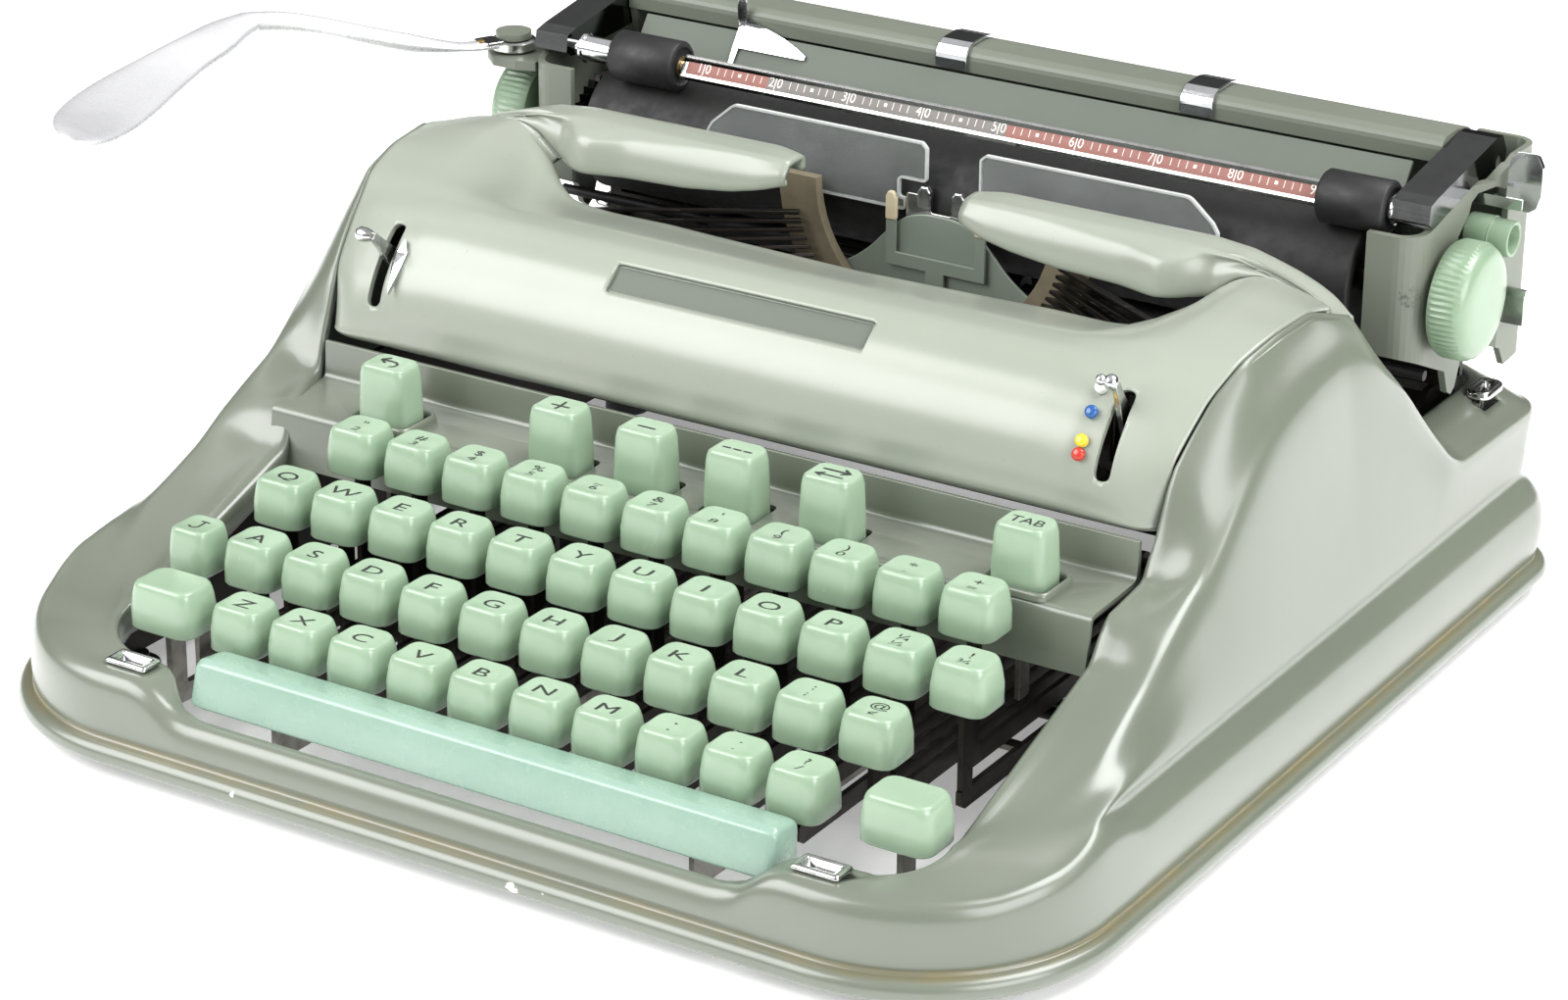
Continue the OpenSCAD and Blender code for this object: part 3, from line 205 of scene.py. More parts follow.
def metal(name, base, stain, rough, stain_amount, scratch, scale=120, metallic=1.0):
    m = Nodes(bpy.data.materials.new(name))
    patch = m.ramp(m.noise(scale, 5, 0.65), 0.45, 0.75)
    lines = m.noise(60, 6, 0.7, m.stretched((1, 18, 22)))
    both = m.times(m.math("ADD", lines, m.noise(scale, 4, 0.6)), 0.5)
    m.shade(Base_Color=m.mix(m.times(patch, stain_amount), srgb(*base), srgb(*stain)), Metallic=metallic,
            Roughness=m.ramp(both, 0.3, 0.72, max(0.02, rough - 0.04), rough + 0.14))
    m.bump(lines, scratch)
    return m.owner


def rubber(name, base, dust_col, rough, dust, fine=500):
    m = Nodes(bpy.data.materials.new(name))
    powder = m.ramp(m.noise(130, 5, 0.7), 0.42, 0.78)
    m.shade(Base_Color=m.mix(m.times(powder, dust), srgb(*base), srgb(*dust_col)),
            Roughness=m.ramp(m.noise(240, 4, 0.6), 0.3, 0.75, rough - 0.08, rough + 0.16))
    m.bump(m.noise(fine, 4, 0.6), 0.12)
    return m.owner


def clear_plastic():
    m = Nodes(bpy.data.materials.new("clear_card_plastic"))
    m.shade(Base_Color=m.mix(m.ramp(m.noise(90, 4), 0.35, 0.75), srgb(226, 230, 230), srgb(206, 211, 208)),
            Transmission_Weight=0.86, IOR=1.3, Roughness=m.ramp(m.noise(150, 5, 0.7), 0.35, 0.8, 0.06, 0.3))
    m.bump(m.noise(200), 0.04)
    return m.owner


# Chips and smudges: place and radius
CHIPS = ((-62.0, -0.5, 4.6, 2.2), (25.0, -0.5, 3.0, 3.4), (-139.0, 6.0, 7.0, 2.0), (34.0, -0.5, 4.2, 1.8))
SMUDGES = ((143.0, 253.0, 101.0, 7.0),)
# The case and cover wear one enamel; the case's copy is mixed darker as painted shade on its front rim,
# ledge and well slopes
case_paint = paint("case_enamel_shaded", (110, 116, 103), (103, 110, 97), 0.31, 0.8, CHIPS, groove=True)
cover_paint = paint("cover_enamel", (148, 154, 142), (141, 148, 135), 0.36, 0.6)
carriage_paint = paint("carriage_enamel", (112, 117, 105), (105, 111, 99), 0.42, 0.05, smudges=SMUDGES)
table_paint = paint("paper_table_enamel", (100, 107, 97), (93, 100, 90), 0.62, 0.0)
shield_paint = paint("shield_enamel", (142, 152, 138), (120, 130, 118), 0.42, 0.12)
key_mint = plastic("key_mint", (148, 171, 146), (142, 165, 140))
bar_mint = plastic("bar_mint", (141, 168, 153), (133, 162, 146), 0.26)
knob_mint = plastic("knob_mint", (136, 158, 133), (129, 152, 126), 0.34)
dot_white = plastic("dot_white", (226, 228, 220), (206, 208, 200), 0.2)
dot_blue = plastic("dot_blue", (34, 92, 160), (24, 76, 140), 0.2)
dot_yellow = plastic("dot_yellow", (226, 196, 52), (206, 176, 40), 0.2)
dot_red = plastic("dot_red", (196, 56, 40), (176, 44, 32), 0.2)
chrome = metal("bright_chrome", (226, 228, 230), (150, 146, 138), 0.07, 0.25, 0.02)
worn_chrome = metal("worn_chrome", (205, 206, 205), (110, 100, 86), 0.14, 0.6, 0.06, 200)
# The bail arms' chrome has a dark base colour: a painted dark reflection
dark_reflection_chrome = metal("dark_reflection_chrome", (104, 105, 105), (66, 64, 60), 0.08, 0.35, 0.03)
steel = metal("lever_steel", (150, 148, 142), (84, 72, 58), 0.32, 0.7, 0.12, 180)
brass = metal("aged_brass", (176, 150, 104), (96, 78, 50), 0.3, 0.6, 0.08, 240)
dark_steel = metal("dark_steel", (52, 51, 50), (70, 60, 48), 0.42, 0.5, 0.15, 160)
bar_black = metal("blackened_bars", (62, 58, 54), (34, 30, 26), 0.36, 0.6, 0.12, 200)
head_metal = metal("type_heads", (138, 126, 108), (70, 56, 42), 0.42, 0.7, 0.12, 320)
lever_metal = metal("brushed_lever", (244, 244, 247), (216, 215, 216), 0.24, 0.25, 0.02, 90, 0.6)
badge_trim = metal("badge_trim", (150, 153, 146), (104, 106, 98), 0.3, 0.4, 0.05, 200)
black_rubber = rubber("black_rubber", (24, 24, 25), (70, 68, 64), 0.5, 0.16)
platen_rubber = rubber("platen_rubber", (22, 22, 22), (48, 47, 44), 0.6, 0.14, 260)
ink = rubber("legend_ink", (34, 38, 34), (60, 66, 58), 0.45, 0.3)
card_edge = rubber("card_edge", (196, 200, 198), (150, 152, 150), 0.25, 0.3)
scale_pink = rubber("scale_pink", (152, 106, 98), (132, 88, 80), 0.7, 0.3, 700)
scale_grey = rubber("scale_grey", (128, 124, 120), (110, 104, 100), 0.7, 0.3, 700)
scale_ink = rubber("scale_ink", (244, 240, 232), (226, 216, 206), 0.7, 0.3, 700)
scale_white = rubber("scale_white", (240, 238, 230), (214, 208, 200), 0.7, 0.3, 700)
bone = rubber("bone_tips", (214, 202, 170), (168, 148, 110), 0.42, 0.4, 420)
ochre = rubber("beige_enamel", (128, 119, 98), (84, 74, 58), 0.5, 0.5, 420)
clear = clear_plastic()

# Slot and material, for the pairs that many pieces share
CASE = ("case_paint", case_paint)
CHROME = ("bright_chrome", chrome)
WORN = ("bright_chrome", worn_chrome)
STEEL = ("lever_steel", steel)
INK = ("key_plastic", ink)


# Mesh helpers, all in case millimetres
def add_mesh(name, verts, faces, body, slot, material, smooth=True, angle=None):
    mesh = bpy.data.meshes.new(name)
    mesh.from_pydata([tuple(v) for v in world(verts)], [], [tuple(int(i) for i in f) for f in faces])
    mesh.update()
    mesh.polygons.foreach_set("use_smooth", [smooth] * len(mesh.polygons))
    mesh.materials.append(material)
    obj = put(name, mesh)
    if angle is not None:
        mesh.set_sharp_from_angle(angle=math.radians(angle))
    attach(obj, body)
    return obj


def modifier(obj, kind, name=None, **values):
    mod = obj.modifiers.new(name or kind.lower(), kind)
    for key, value in values.items():
        setattr(mod, key, value)


def bevel(obj, width, segments, angle):
    modifier(obj, "BEVEL", width=width * MM, segments=segments, limit_method="ANGLE",
             angle_limit=math.radians(angle), harden_normals=False)


def outward(obj, merge=0.0, clean=False):
    """Turns the faces outwards; before that, joins points within merge and drops what has no area."""
    edit = bmesh.new()
    edit.from_mesh(obj.data)
    if clean:
        bmesh.ops.delete(edit, geom=[v for v in edit.verts if not v.link_faces], context="VERTS")
    if merge:
        bmesh.ops.remove_doubles(edit, verts=edit.verts, dist=merge)
    if clean:
        bmesh.ops.dissolve_degenerate(edit, dist=merge, edges=edit.edges)
    bmesh.ops.recalc_face_normals(edit, faces=edit.faces)
    edit.to_mesh(obj.data)
    edit.free()
    return obj


def grid_faces(ni, nj, wrap=False, keep=None):
    faces = []
    for i in range(ni if wrap else ni - 1):
        k = (i + 1) % ni
        for j in range(nj - 1):
            if keep is None or keep(i, j):
                faces.append((i * nj + j, k * nj + j, k * nj + j + 1, i * nj + j + 1))
    return faces


def loft(rings, caps=True):
    """Faces between closed rings with the same number of points."""
    rings = np.asarray(rings, float)
    nr, n = rings.shape[:2]
    faces = [(r * n + i, r * n + (i + 1) % n, (r + 1) * n + (i + 1) % n, (r + 1) * n + i)
             for r in range(nr - 1) for i in range(n)]
    if caps:
        faces.append(tuple(range(n))[::-1])
        faces.append(tuple((nr - 1) * n + i for i in range(n)))
    return rings.reshape(-1, 3), faces


def rounded(points, radii, steps=5):
    """A closed polygon in the plane with its corners rounded."""
    pts = np.asarray(points, float)
    n = len(pts)
    if np.isscalar(radii):
        radii = [radii] * n
    out = []
    for i in range(n):
        p, a, b = pts[i], pts[i - 1], pts[(i + 1) % n]
        u, v = (a - p), (b - p)
        lu, lv = np.linalg.norm(u), np.linalg.norm(v)
        u, v = u / lu, v / lv
        half = math.acos(max(-1, min(1, float(u @ v)))) / 2
        r = radii[i]
        if r <= 0 or half > math.pi / 2 - 0.02:
            out.append(p)
            continue
        t = min(r / math.tan(half), lu * 0.49, lv * 0.49)
        p0, p2 = p + u * t, p + v * t
        for k in range(steps + 1):
            s = k / steps
            out.append((1 - s) ** 2 * p0 + 2 * s * (1 - s) * p + s * s * p2)
    return np.array(out)


def lofted(name, rings, body, slot, material, angle=None, caps=True):
    """A piece whose skin runs from ring to ring."""
    return outward(add_mesh(name, *loft(rings, caps), body, slot, material, True, angle))


def prism(name, outline, lo, hi, axis, body, slot, material, edge=0.4):
    """An outline pulled along an axis; edges rounded by a bevel."""
    n = len(outline)
    place = {"x": lambda a, b, t: (t, a, b), "y": lambda a, b, t: (a, t, b),
             "z": lambda a, b, t: (a, b, t)}[axis]
    verts = [place(a, b, t) for t in (lo, hi) for a, b in outline]
    faces = [tuple(range(n)), tuple(range(2 * n - 1, n - 1, -1))]
    faces += [(i, i + n, (i + 1) % n + n, (i + 1) % n) for i in range(n)]
    obj = outward(add_mesh(name, verts, faces, body, slot, material, True, 40))
    if edge:
        bevel(obj, edge, 3, 40)
    return obj


def lathe(name, profile, centre, axis, body, slot, material, segments=72, closed=False, angle=40):
    """A profile of (distance along the axis, radius) turned about a line through centre."""
    n = len(profile)
    verts, faces = [], []
    for k in range(segments):
        a = 2 * math.pi * k / segments
        q = (k + 1) % segments
        for t, r in profile:
            c, s = r * math.cos(a), r * math.sin(a)
            verts.append(np.array(centre) + {"x": (t, c, s), "y": (s, t, c), "z": (c, s, t)}[axis])
        for i in range(n if closed else n - 1):
            j = (i + 1) % n
            faces.append((k * n + i, q * n + i, q * n + j, k * n + j))
    obj = outward(add_mesh(name, verts, faces, body, slot, material), 1e-7)
    obj.data.set_sharp_from_angle(angle=math.radians(angle))
    return obj


def cut_out(obj, name, rings, solver):
    """Takes the solid between the rings out of an object, with a cutter that stays out of the scene."""
    verts, faces = loft(rings)
    mesh = bpy.data.meshes.new(name)
    mesh.from_pydata([tuple(v) for v in world(verts)], [], faces)
    mesh.update()
    cutter = outward(bpy.data.objects.new(name, mesh))
    modifier(obj, "BOOLEAN", name, operation="DIFFERENCE", solver=solver, object=cutter)


def spline(points, per):
    """A smooth curve through points, along axis 0 of an array (n, ...)."""
    p = np.asarray(points, float)
    ext = np.concatenate([[2 * p[0] - p[1]], p, [2 * p[-1] - p[-2]]])
    flat = ext.reshape(len(ext), -1)
    out = []
    for i in range(1, len(ext) - 2):
        p0, p1, p2, p3 = flat[i - 1:i + 3]
        d = [max(np.linalg.norm(b - a), 1e-6) ** 0.5 for a, b in ((p0, p1), (p1, p2), (p2, p3))]
        t0, t1 = 0.0, d[0]
        t2, t3 = t1 + d[1], t1 + d[1] + d[2]
        for k in range(per):
            t = t1 + (t2 - t1) * k / per
            a1 = (t1 - t) / (t1 - t0) * p0 + (t - t0) / (t1 - t0) * p1
            a2 = (t2 - t) / (t2 - t1) * p1 + (t - t1) / (t2 - t1) * p2
            a3 = (t3 - t) / (t3 - t2) * p2 + (t - t2) / (t3 - t2) * p3
            b1 = (t2 - t) / (t2 - t0) * a1 + (t - t0) / (t2 - t0) * a2
            b2 = (t3 - t) / (t3 - t1) * a2 + (t - t1) / (t3 - t1) * a3
            out.append((t2 - t) / (t2 - t1) * b1 + (t - t1) / (t2 - t1) * b2)
    out.append(flat[-2])
    return np.array(out).reshape((-1,) + p.shape[1:])


def column_spline(columns):
    """The spline along axis 1 of (columns, rows, 3), with one set of knots per column."""
    return np.stack([spline(c, 4) for c in columns])


def soft_curve(points, window=6.0):
    """Linear lookup with its corners smoothed over a window in millimetres."""
    xs, ys = np.array(points, float).T
    grid = np.arange(xs[0] - window, xs[-1] + window, 0.25)
    values = np.interp(grid, xs, ys)
    width = max(3, int(window / 0.25) | 1)
    kernel = np.hanning(width + 2)
    kernel /= kernel.sum()
    padded = np.pad(values, len(kernel) // 2, mode="edge")
    values = np.convolve(padded, kernel, mode="valid")[:len(grid)]
    return lambda t: float(np.interp(t, grid, values))


def mix(a, b, t):
    return a + (b - a) * t


def clamp01(t):
    return max(0.0, min(1.0, t))


def cos_sin(degrees):
    return math.cos(math.radians(degrees)), math.sin(math.radians(degrees))


def mirrored(half):
    """The mirror image of a profile about 0 and then the profile, with a point at 0 only once."""
    return [(-t, r) for t, r in reversed(half) if t] + list(half)


def pill(w, d, r, steps=6):
    """A rectangle about the origin with rounded corners."""
    return rounded([[w / 2, d / 2], [-w / 2, d / 2], [-w / 2, -d / 2], [w / 2, -d / 2]], r, steps)


# Case shell: the same guide curves as the source, sampled finely
HALF_W = 164.15
DEPTH = 331.0
FRONT_R = 56.4
REAR_R = 20.0
WELL_R = 12.5
WELL_RIGHT = 130
WELL_LEFT = 121
WELL_FRONT = 20
WELL_Z = (24.5, 30.5)
REAR_WELL_END = (122, 300)
REAR_WELL_R = (18.3, 18)
DECK_Z = 60
SEAM_PLAY = 0.35
CASE_WALL = 1.6
COVER_WALL = 1.7
MIRROR = np.array([-1, 1, 1])
FRONT, WELL, SIDE, CORNER, BACK = range(5)
FRONT_CATCH = (105, 14.6)
REAR_CATCH = (147, 300)
# Half width and half depth of the holes for the catches, and the height above which they cut
FRONT_HOLE = (5.4, 2.7, 18)
REAR_HOLE = (2.4, 4.9, 45)
shoulder_z = soft_curve([[0, 24.3], [20, 24.5], [40, 27], [50, 30], [60, 34], [77, 42], [95, 50], [106, 57],
                         [117, 62.5], [127, 67], [133, 72], [140, 78.5], [146, 84], [153, 90], [161, 95.5],
                         [173, 100], [187, 103], [200, 104], [210, 103], [218, 99], [235, 84], [247, 70],
                         [258, 58], [265, 54], [331, 53]], 9)
shoulder_in = soft_curve([[0, 19.4], [205, 19.4], [235, 14.5], [258, 11], [331, 10.5]], 10)
edge_z = soft_curve([[38, 30.5], [100, 51], [104, 57], [108, 61], [126, 63.5], [131, 72], [132, 74],
                     [138, 89], [145, 97], [153, 104.6], [164, 112], [178, 115], [194, 116], [217, 108],
                     [222, 103], [235, 88], [247, 76], [258, 64], [265, 60.5], [331, 60]], 3)
seam_x = soft_curve([[131, 130.4], [138, 131], [145, 132.5], [153, 134], [164, 137], [178, 139],
                     [194, 140.5], [217, 141], [258, 140.5], [331, 140]], 6)
well_lag = soft_curve([[56.4, 32.5], [66, 50], [76, 70], [86, 84.5], [96, 96], [265, 265], [296, 290],
                       [312, 300]], 3)
lip_z = soft_curve([[0, 16.3], [80, 16.3], [86, 17.6], [90, 20.5], [94, 23.2], [99, 24.3], [200, 24.3]], 4)
lip_y = soft_curve([[0, 10.6], [80, 10.6], [86, 11.6], [90, 14.5], [94, 18.2], [99, 20], [200, 20]], 4)


def edge_point(kind, s, w):
    """Inner edge of the case at s along a stretch, with w as the half width of the key well."""
    if kind == FRONT:
        return np.array([s, lip_y(s), lip_z(s) - 0.1])
    if kind == WELL:
        c, sine = cos_sin(s)
        return np.array([w - WELL_R + WELL_R * c, WELL_FRONT + WELL_R * (1 + sine),
                         mix(*WELL_Z, clamp01((s + 90) / 90))])
    if kind == SIDE:
        y = well_lag(s)
        x = mix(w, 130.4, clamp01((y - 100) / 31)) if y < 131 else seam_x(y) + SEAM_PLAY
        return np.array([x, y, edge_z(max(y, 38))])
    if kind == CORNER:
        c, sine = cos_sin(s)
        return np.array([REAR_WELL_END[0] + REAR_WELL_R[0] * c, REAR_WELL_END[1] + REAR_WELL_R[1] * sine,
                         DECK_Z])
    return np.array([s * REAR_WELL_END[0] / (HALF_W - REAR_R), REAR_WELL_END[1] + REAR_WELL_R[1], DECK_Z])


def shell_column(x, y, nx, ny, kind, s, w):
    """Section of the case at one point of the rim, from the bead in to the inner edge."""
    o = np.array([x, y, 0.0])
    n = np.array([nx, ny, 0.0])
    zed = np.array([0, 0, 1.0])
    e = edge_point(kind, s, w)
    k = clamp01((y - 45) / 30)
    k = k * k * (3 - 2 * k)
    h = lip_z(s) if kind == FRONT else shoulder_z(y)
    ds = shoulder_in(y)

    def at(d, z):
        return o - n * d + zed * z

    bead = [at(2.4, 0.1)]
    for t in (-60, -25, 5, 35, 62, 88):
        c, sine = cos_sin(t)
        bead.append(at(3.1 - 3.05 * c, 3.1 + 3.05 * sine))
    z8 = min(35, mix(31.3, max(h, 32), 0.4))
    f8 = at(8.8, h)
    front = bead + [at(3.9, 6.25), at(4.35, 6.9), at(4.15, 8.2), at(4.0, h * 0.55), at(4.5, h - 4.6),
                    at(5.7, h - 1.7), at(7.2, h - 0.4), f8, *(mix(f8, e, t) for t in (0.3, 0.55, 0.8, 0.95)),
                    e - zed * 1.0]
    s11 = at(ds, h)
    side = bead + [at(3.6, 6.25), at(3.9, 6.9), at(3.4, 8.4), at(2.4, 17), at(3.6, 24.5), at(6, 28),
                   at(9, 31.3), at(8.8, z8), at(mix(8.8, ds - 3, 0.5), mix(z8, h, 0.5)),
                   at(ds - 2.8, mix(z8, h, 0.92)), s11, mix(s11, e, 0.6) + zed * (e[2] - h) * 0.14,
                   e - zed * 0.1]
    rows = [mix(a, b, k) for a, b in zip(front, side)]
    rows.append(rows[-1] - zed * (6 if kind == FRONT else 8))
    return np.array(rows)


def rim_samples():
    """Points of half the rim: place, outward normal, kind of inner edge and place along it."""
    cfx = HALF_W - FRONT_R
    out = [(x, 0.0, 0, -1, FRONT, x) for x in np.arange(0, cfx - 0.5, 2.45)]
    for a in np.linspace(-90, 0, 30):
        c, s = cos_sin(a)
        out.append((cfx + FRONT_R * c, FRONT_R * (1 + s), c, s, WELL, a))
    out += [(HALF_W, y, 1, 0, SIDE, y) for y in np.arange(59, 310, 2.5)]
    for a in np.linspace(0, 90, 12):
        c, s = cos_sin(a)
        out.append((HALF_W - REAR_R + REAR_R * c, DEPTH - REAR_R + REAR_R * s, c, s, CORNER, a))
    out += [(x, DEPTH, 0, 1, BACK, x) for x in np.linspace(132, 0, 22)]
    return out


samples = rim_samples()
right_cols = [shell_column(*s, WELL_RIGHT) for s in samples]
left_cols = [shell_column(*s, WELL_LEFT) * MIRROR for s in samples[-2:0:-1]]
cols = column_spline(right_cols + left_cols)


def in_catch(p):
    """Whether a point of the shell lies in the hole of a catch."""
    return any(abs(abs(p[0]) - x) < w and abs(p[1] - y) < d and p[2] > z
               for (x, y), (w, d, z) in ((FRONT_CATCH, FRONT_HOLE), (REAR_CATCH, REAR_HOLE)))


ni, nj = cols.shape[:2]
pairs = cols + np.roll(cols, -1, 0)
face_middles = (pairs[:, :-1] + pairs[:, 1:]) / 4
shell_faces = grid_faces(ni, nj, True, lambda i, j: not in_catch(face_middles[i, j]))
shell = add_mesh("case_shell", cols.reshape(-1, 3), shell_faces, "chassis", *CASE)
modifier(shell, "SOLIDIFY", thickness=CASE_WALL * MM, offset=-1)
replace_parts(shell, "body_shell")

# Key ledge with six holes
TALL_KEYS = {"backspace": -93.2, "plus": -37, "minus": -9.6, "dashes": 18.6, "arrows": 47.7, "tab": 104.3}
TALL_Y = 112.5
TALL_HOLE = pill(17.4, 13.8, 2.4)
ledge_line = rounded([[101.3, 46], [102.2, 50], [104, 61.4], [127.9, 62.1], [128.6, 72.6], [129.9, 72.6],
                      [129.9, 60.9], [105, 60.2], [102.9, 46]], [0, 3, 2.2, 2.2, 0.3, 0.3, 2, 2, 0])
ledge = prism("key_ledge", ledge_line, -127.8, 127.8, "x", "chassis", *CASE, 0)
for number, x in enumerate(TALL_KEYS.values()):
    hole = [[(x + a, TALL_Y + b, z) for a, b in TALL_HOLE] for z in (50, 70)]
    cut_out(ledge, f"hole_cut_{number}", hole, "EXACT")
bevel(ledge, 0.35, 2, 50)


def ring_frame(name, outer, inner, z0, z1, lip, centre, slot, material, depth=0):
    """A pressed frame round a hole, whose inner wall goes deeper than its foot."""
    stations = ((1, z0), (1, z1 - lip), (0.72, z1), (0.44, z1), (0, z1 - lip), (0, z0 - depth))
    rings = [[(*(p + centre), z) for p in mix(inner, outer, share)] for share, z in stations]
    lofted(name, rings, "chassis", slot, material, caps=False)


for number, body in enumerate(("backspace", "tab")):
    ring_frame(f"ledge_collar_{number}", pill(20.4, 16.6, 3.2), TALL_HOLE, 61.4, 63.5, 0.8,
               (TALL_KEYS[body], TALL_Y), *CASE)
for side, tag in ((-1, "left"), (1, "right")):
    front, rear = (side * FRONT_CATCH[0], FRONT_CATCH[1]), (side * REAR_CATCH[0], REAR_CATCH[1])
    ring_frame(f"front_catch_{tag}", pill(13.4, 7.6, 1.0), pill(8.9, 3.5, 0.5), 24.9, 26.0, 0.45,
               front, *WORN, 7)
    ring_frame(f"rear_catch_{tag}", pill(7.6, 13.2, 3.6, 10), pill(2.9, 7.8, 1.3, 10), 59.6, 61.7, 0.5,
               rear, *WORN, 6)
    for at, z, w, d in ((front, 18.0, 9.6, 4.2), (rear, 55.0, 3.6, 8.6)):
        prism(f"catch_floor_{tag}_{int(at[1])}", pill(w, d, 0.6) + at, z, z + 0.8, "z", "chassis",
              "dark_steel", black_rubber, 0)
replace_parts(bpy.data.objects["front_catch_left"], "case_catches")

# Lift-off cover
dome = soft_curve([[131, 73], [131.4, 79], [131.9, 86], [134, 92], [137, 96.6], [143.7, 103.8], [152, 109.4],
                   [162, 112.4], [172, 114.4], [180, 115.9], [200, 119], [212, 120], [222, 120.5]], 2.0)
drop_shape = soft_curve([[0, 0], [100, 0], [112, 1.2], [119, 3], [125, 4.7], [131, 7], [135, 9],
                         [138.5, 11.6], [141, 14]], 4)
scoop_depth = soft_curve([[150, 0], [156, 1], [162, 3], [170, 7], [180, 12.4], [190, 17.4], [198, 21.5],
                          [204, 23.7]], 8)
scoop_side = soft_curve([[0, 1], [45, 0.96], [62, 0.93], [80, 0.93], [87, 0.89], [92, 0.84], [97, 0.68],
                         [104, 0.5], [112, 0.2], [119, 0.03], [125, 0]], 6)
open_y = soft_curve([[0, 204], [45, 204], [60, 203.3], [80, 202], [87, 200], [92, 198.6], [97, 200],
                     [104, 206], [112, 206.5], [141, 207]], 5)
lip_low = soft_curve([[27, 6.5], [34, 8.5], [45, 11], [60, 12.6], [80, 12.9], [92, 12.9], [97, 12.6],
                      [104, 12.2], [112, 4.8], [119, 0.8], [141, 0.4]], 5)
seam_h = soft_curve([[131, 73.5], [138, 89], [145, 97], [153, 104.6], [164, 112], [178, 115], [194, 116],
                     [207, 113], [217, 108], [222, 104]], 4)
# Stations across the cover: the seam, the start of the rounded corner, the end of the type opening and
# the free tip of the lip behind it
SEAM = 141
CORNER_START = 131
OPENING_END = 104
LIP_TIP = 27
TIP_LENGTH = 11
CORNER_DEPTH = 7


def cover_top(f, y):
    """Height of the cover above the seam station f."""
    d = dome(y)
    return d - drop_shape(f) * max(0, d - seam_h(y)) / 14


def cover_pt(f, y, z):
    """A point whose x follows the seam: f runs from 0 in the middle to SEAM."""
    return [f / SEAM * (seam_x(y) - SEAM_PLAY), y, z]


def corner_back(f, y):
    """How far the rounded front corner lies behind the front edge."""
    if y > 138 or f < CORNER_START:
        return 0
    across = (f - CORNER_START) / (SEAM - CORNER_START)
    return CORNER_DEPTH * (1 - math.sqrt(max(0, 1 - across ** 2))) * clamp01((138.5 - y) / 7)


FRONT_ROWS = [131, 131.4, 131.9, 134, 137, 140.3, 143.7, 147.8, 152, 157, 162, 170, 178, 186]


def cover_main(f):
    """Section of the cover from its front edge over the dome into the type opening."""
    yo, sc = open_y(f), scoop_side(f)
    lower = 0.7 if f < 112 else 0
    pts = [cover_pt(f, 132.6 + corner_back(f, 131), 73.2)]
    pts += [cover_pt(f, y + corner_back(f, y), cover_top(f, y) - scoop_depth(y) * sc) for y in FRONT_ROWS]
    for t in (0.5, 0.95, 1):
        y = mix(186, yo, t)
        pts.append(cover_pt(f, y, cover_top(f, y) - scoop_depth(y) * sc - (lower if t == 1 else 0)))
    if f < OPENING_END:
        last = np.array(pts[-1])
        pts.append(list(last - np.array([0, 0.4, 2.2])))
    else:
        pts.append(pts[-1])
    return pts


def cover_lip(f):
    """Section of the rim behind the type opening."""
    yo = open_y(f)
    top = dome(220) - drop_shape(f) * 1.05
    low = lip_low(f)
    tip = clamp01(1 - (f - LIP_TIP) / TIP_LENGTH) ** 1.5
    rows = [(yo + 5.0 + tip * 2.6, top - low - 0.6), (yo + 3.4 + tip * 2.6, top - low),
            (yo + 3.8 + tip * 2, top - low * 0.55 - tip * 0.3),
            (yo + 5.6 + tip * 2, top - low * 0.22 - tip * 0.6),
            (211.1 + tip * 1.4, top - low * 0.05 - tip * 0.9), (215, top - tip * 0.8),
            (221.4 - tip * 2, top - tip), (222.2 - tip * 2, top - 0.9 - tip), (222.25 - tip * 2, top - 5.2)]
    return [cover_pt(f, y, z) for y, z in rows]


def both_sides(columns):
    """Splined columns of the right half, with the left half as their mirror image."""
    right_half = column_spline(columns)
    return np.concatenate([right_half[:0:-1] * MIRROR, right_half])


half_f = [*np.arange(0, OPENING_END, 2.0), *np.arange(OPENING_END, SEAM + 0.01, 1.0)]
mains = both_sides([cover_main(f) for f in half_f])
lips = both_sides([cover_lip(max(f, LIP_TIP)) for f in half_f])
sheet_pts = np.concatenate([mains, lips], 1)
ni, nj = sheet_pts.shape[:2]
all_f = [-f for f in half_f[:0:-1]] + half_f
break_row = mains.shape[1] - 1


def cover_keep(i, j):
    """Leaves the type opening free between the main sheet and the rim behind it."""
    f = min(abs(all_f[i]), abs(all_f[i + 1]))
    if j == break_row:
        return f >= OPENING_END
    return j < break_row or f > LIP_TIP


cover = add_mesh("cover_shell", sheet_pts.reshape(-1, 3), grid_faces(ni, nj, False, cover_keep),
                 "cover", "cover_paint", cover_paint)
outward(cover, 1e-6, True)
if sum(p.normal.z for p in cover.data.polygons) < 0:
    cover.data.flip_normals()
modifier(cover, "SOLIDIFY", thickness=COVER_WALL * MM, offset=-1)
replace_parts(cover, "top_cover")

# Slots, badge and trim on the cover
SLOT_X = 114
SLOT_ANGLE = math.degrees(math.atan2(16.7, 11.4))
BADGE_AT = (-1.5, 144.5, 103.8, 39.6)


def on_slope(x, y, z, angle, points):
    """Points given on a surface that rises towards the back at an angle."""
    c, s = cos_sin(angle)
    return [(x + u, y + v * c - w * s, z + v * s + w * c) for u, v, w in points]


def badge_ring(w, h, r, z):
    return on_slope(*BADGE_AT, [(a, b, z) for a, b in pill(w, h, r)])


for tag, x in (("left", -SLOT_X), ("right", SLOT_X)):
    slot = [on_slope(x, 137.5, 95.85, SLOT_ANGLE, [(u, v, depth) for u, v in pill(4.6, 24.4, 2.254, 8)])
            for depth in (-12, 12)]
    cut_out(cover, f"slot_cut_{tag}", slot, "MANIFOLD")
cut_out(cover, "badge_cut", [badge_ring(81, 9, 1.2, -1.2), badge_ring(81, 9, 1.2, 6)], "MANIFOLD")
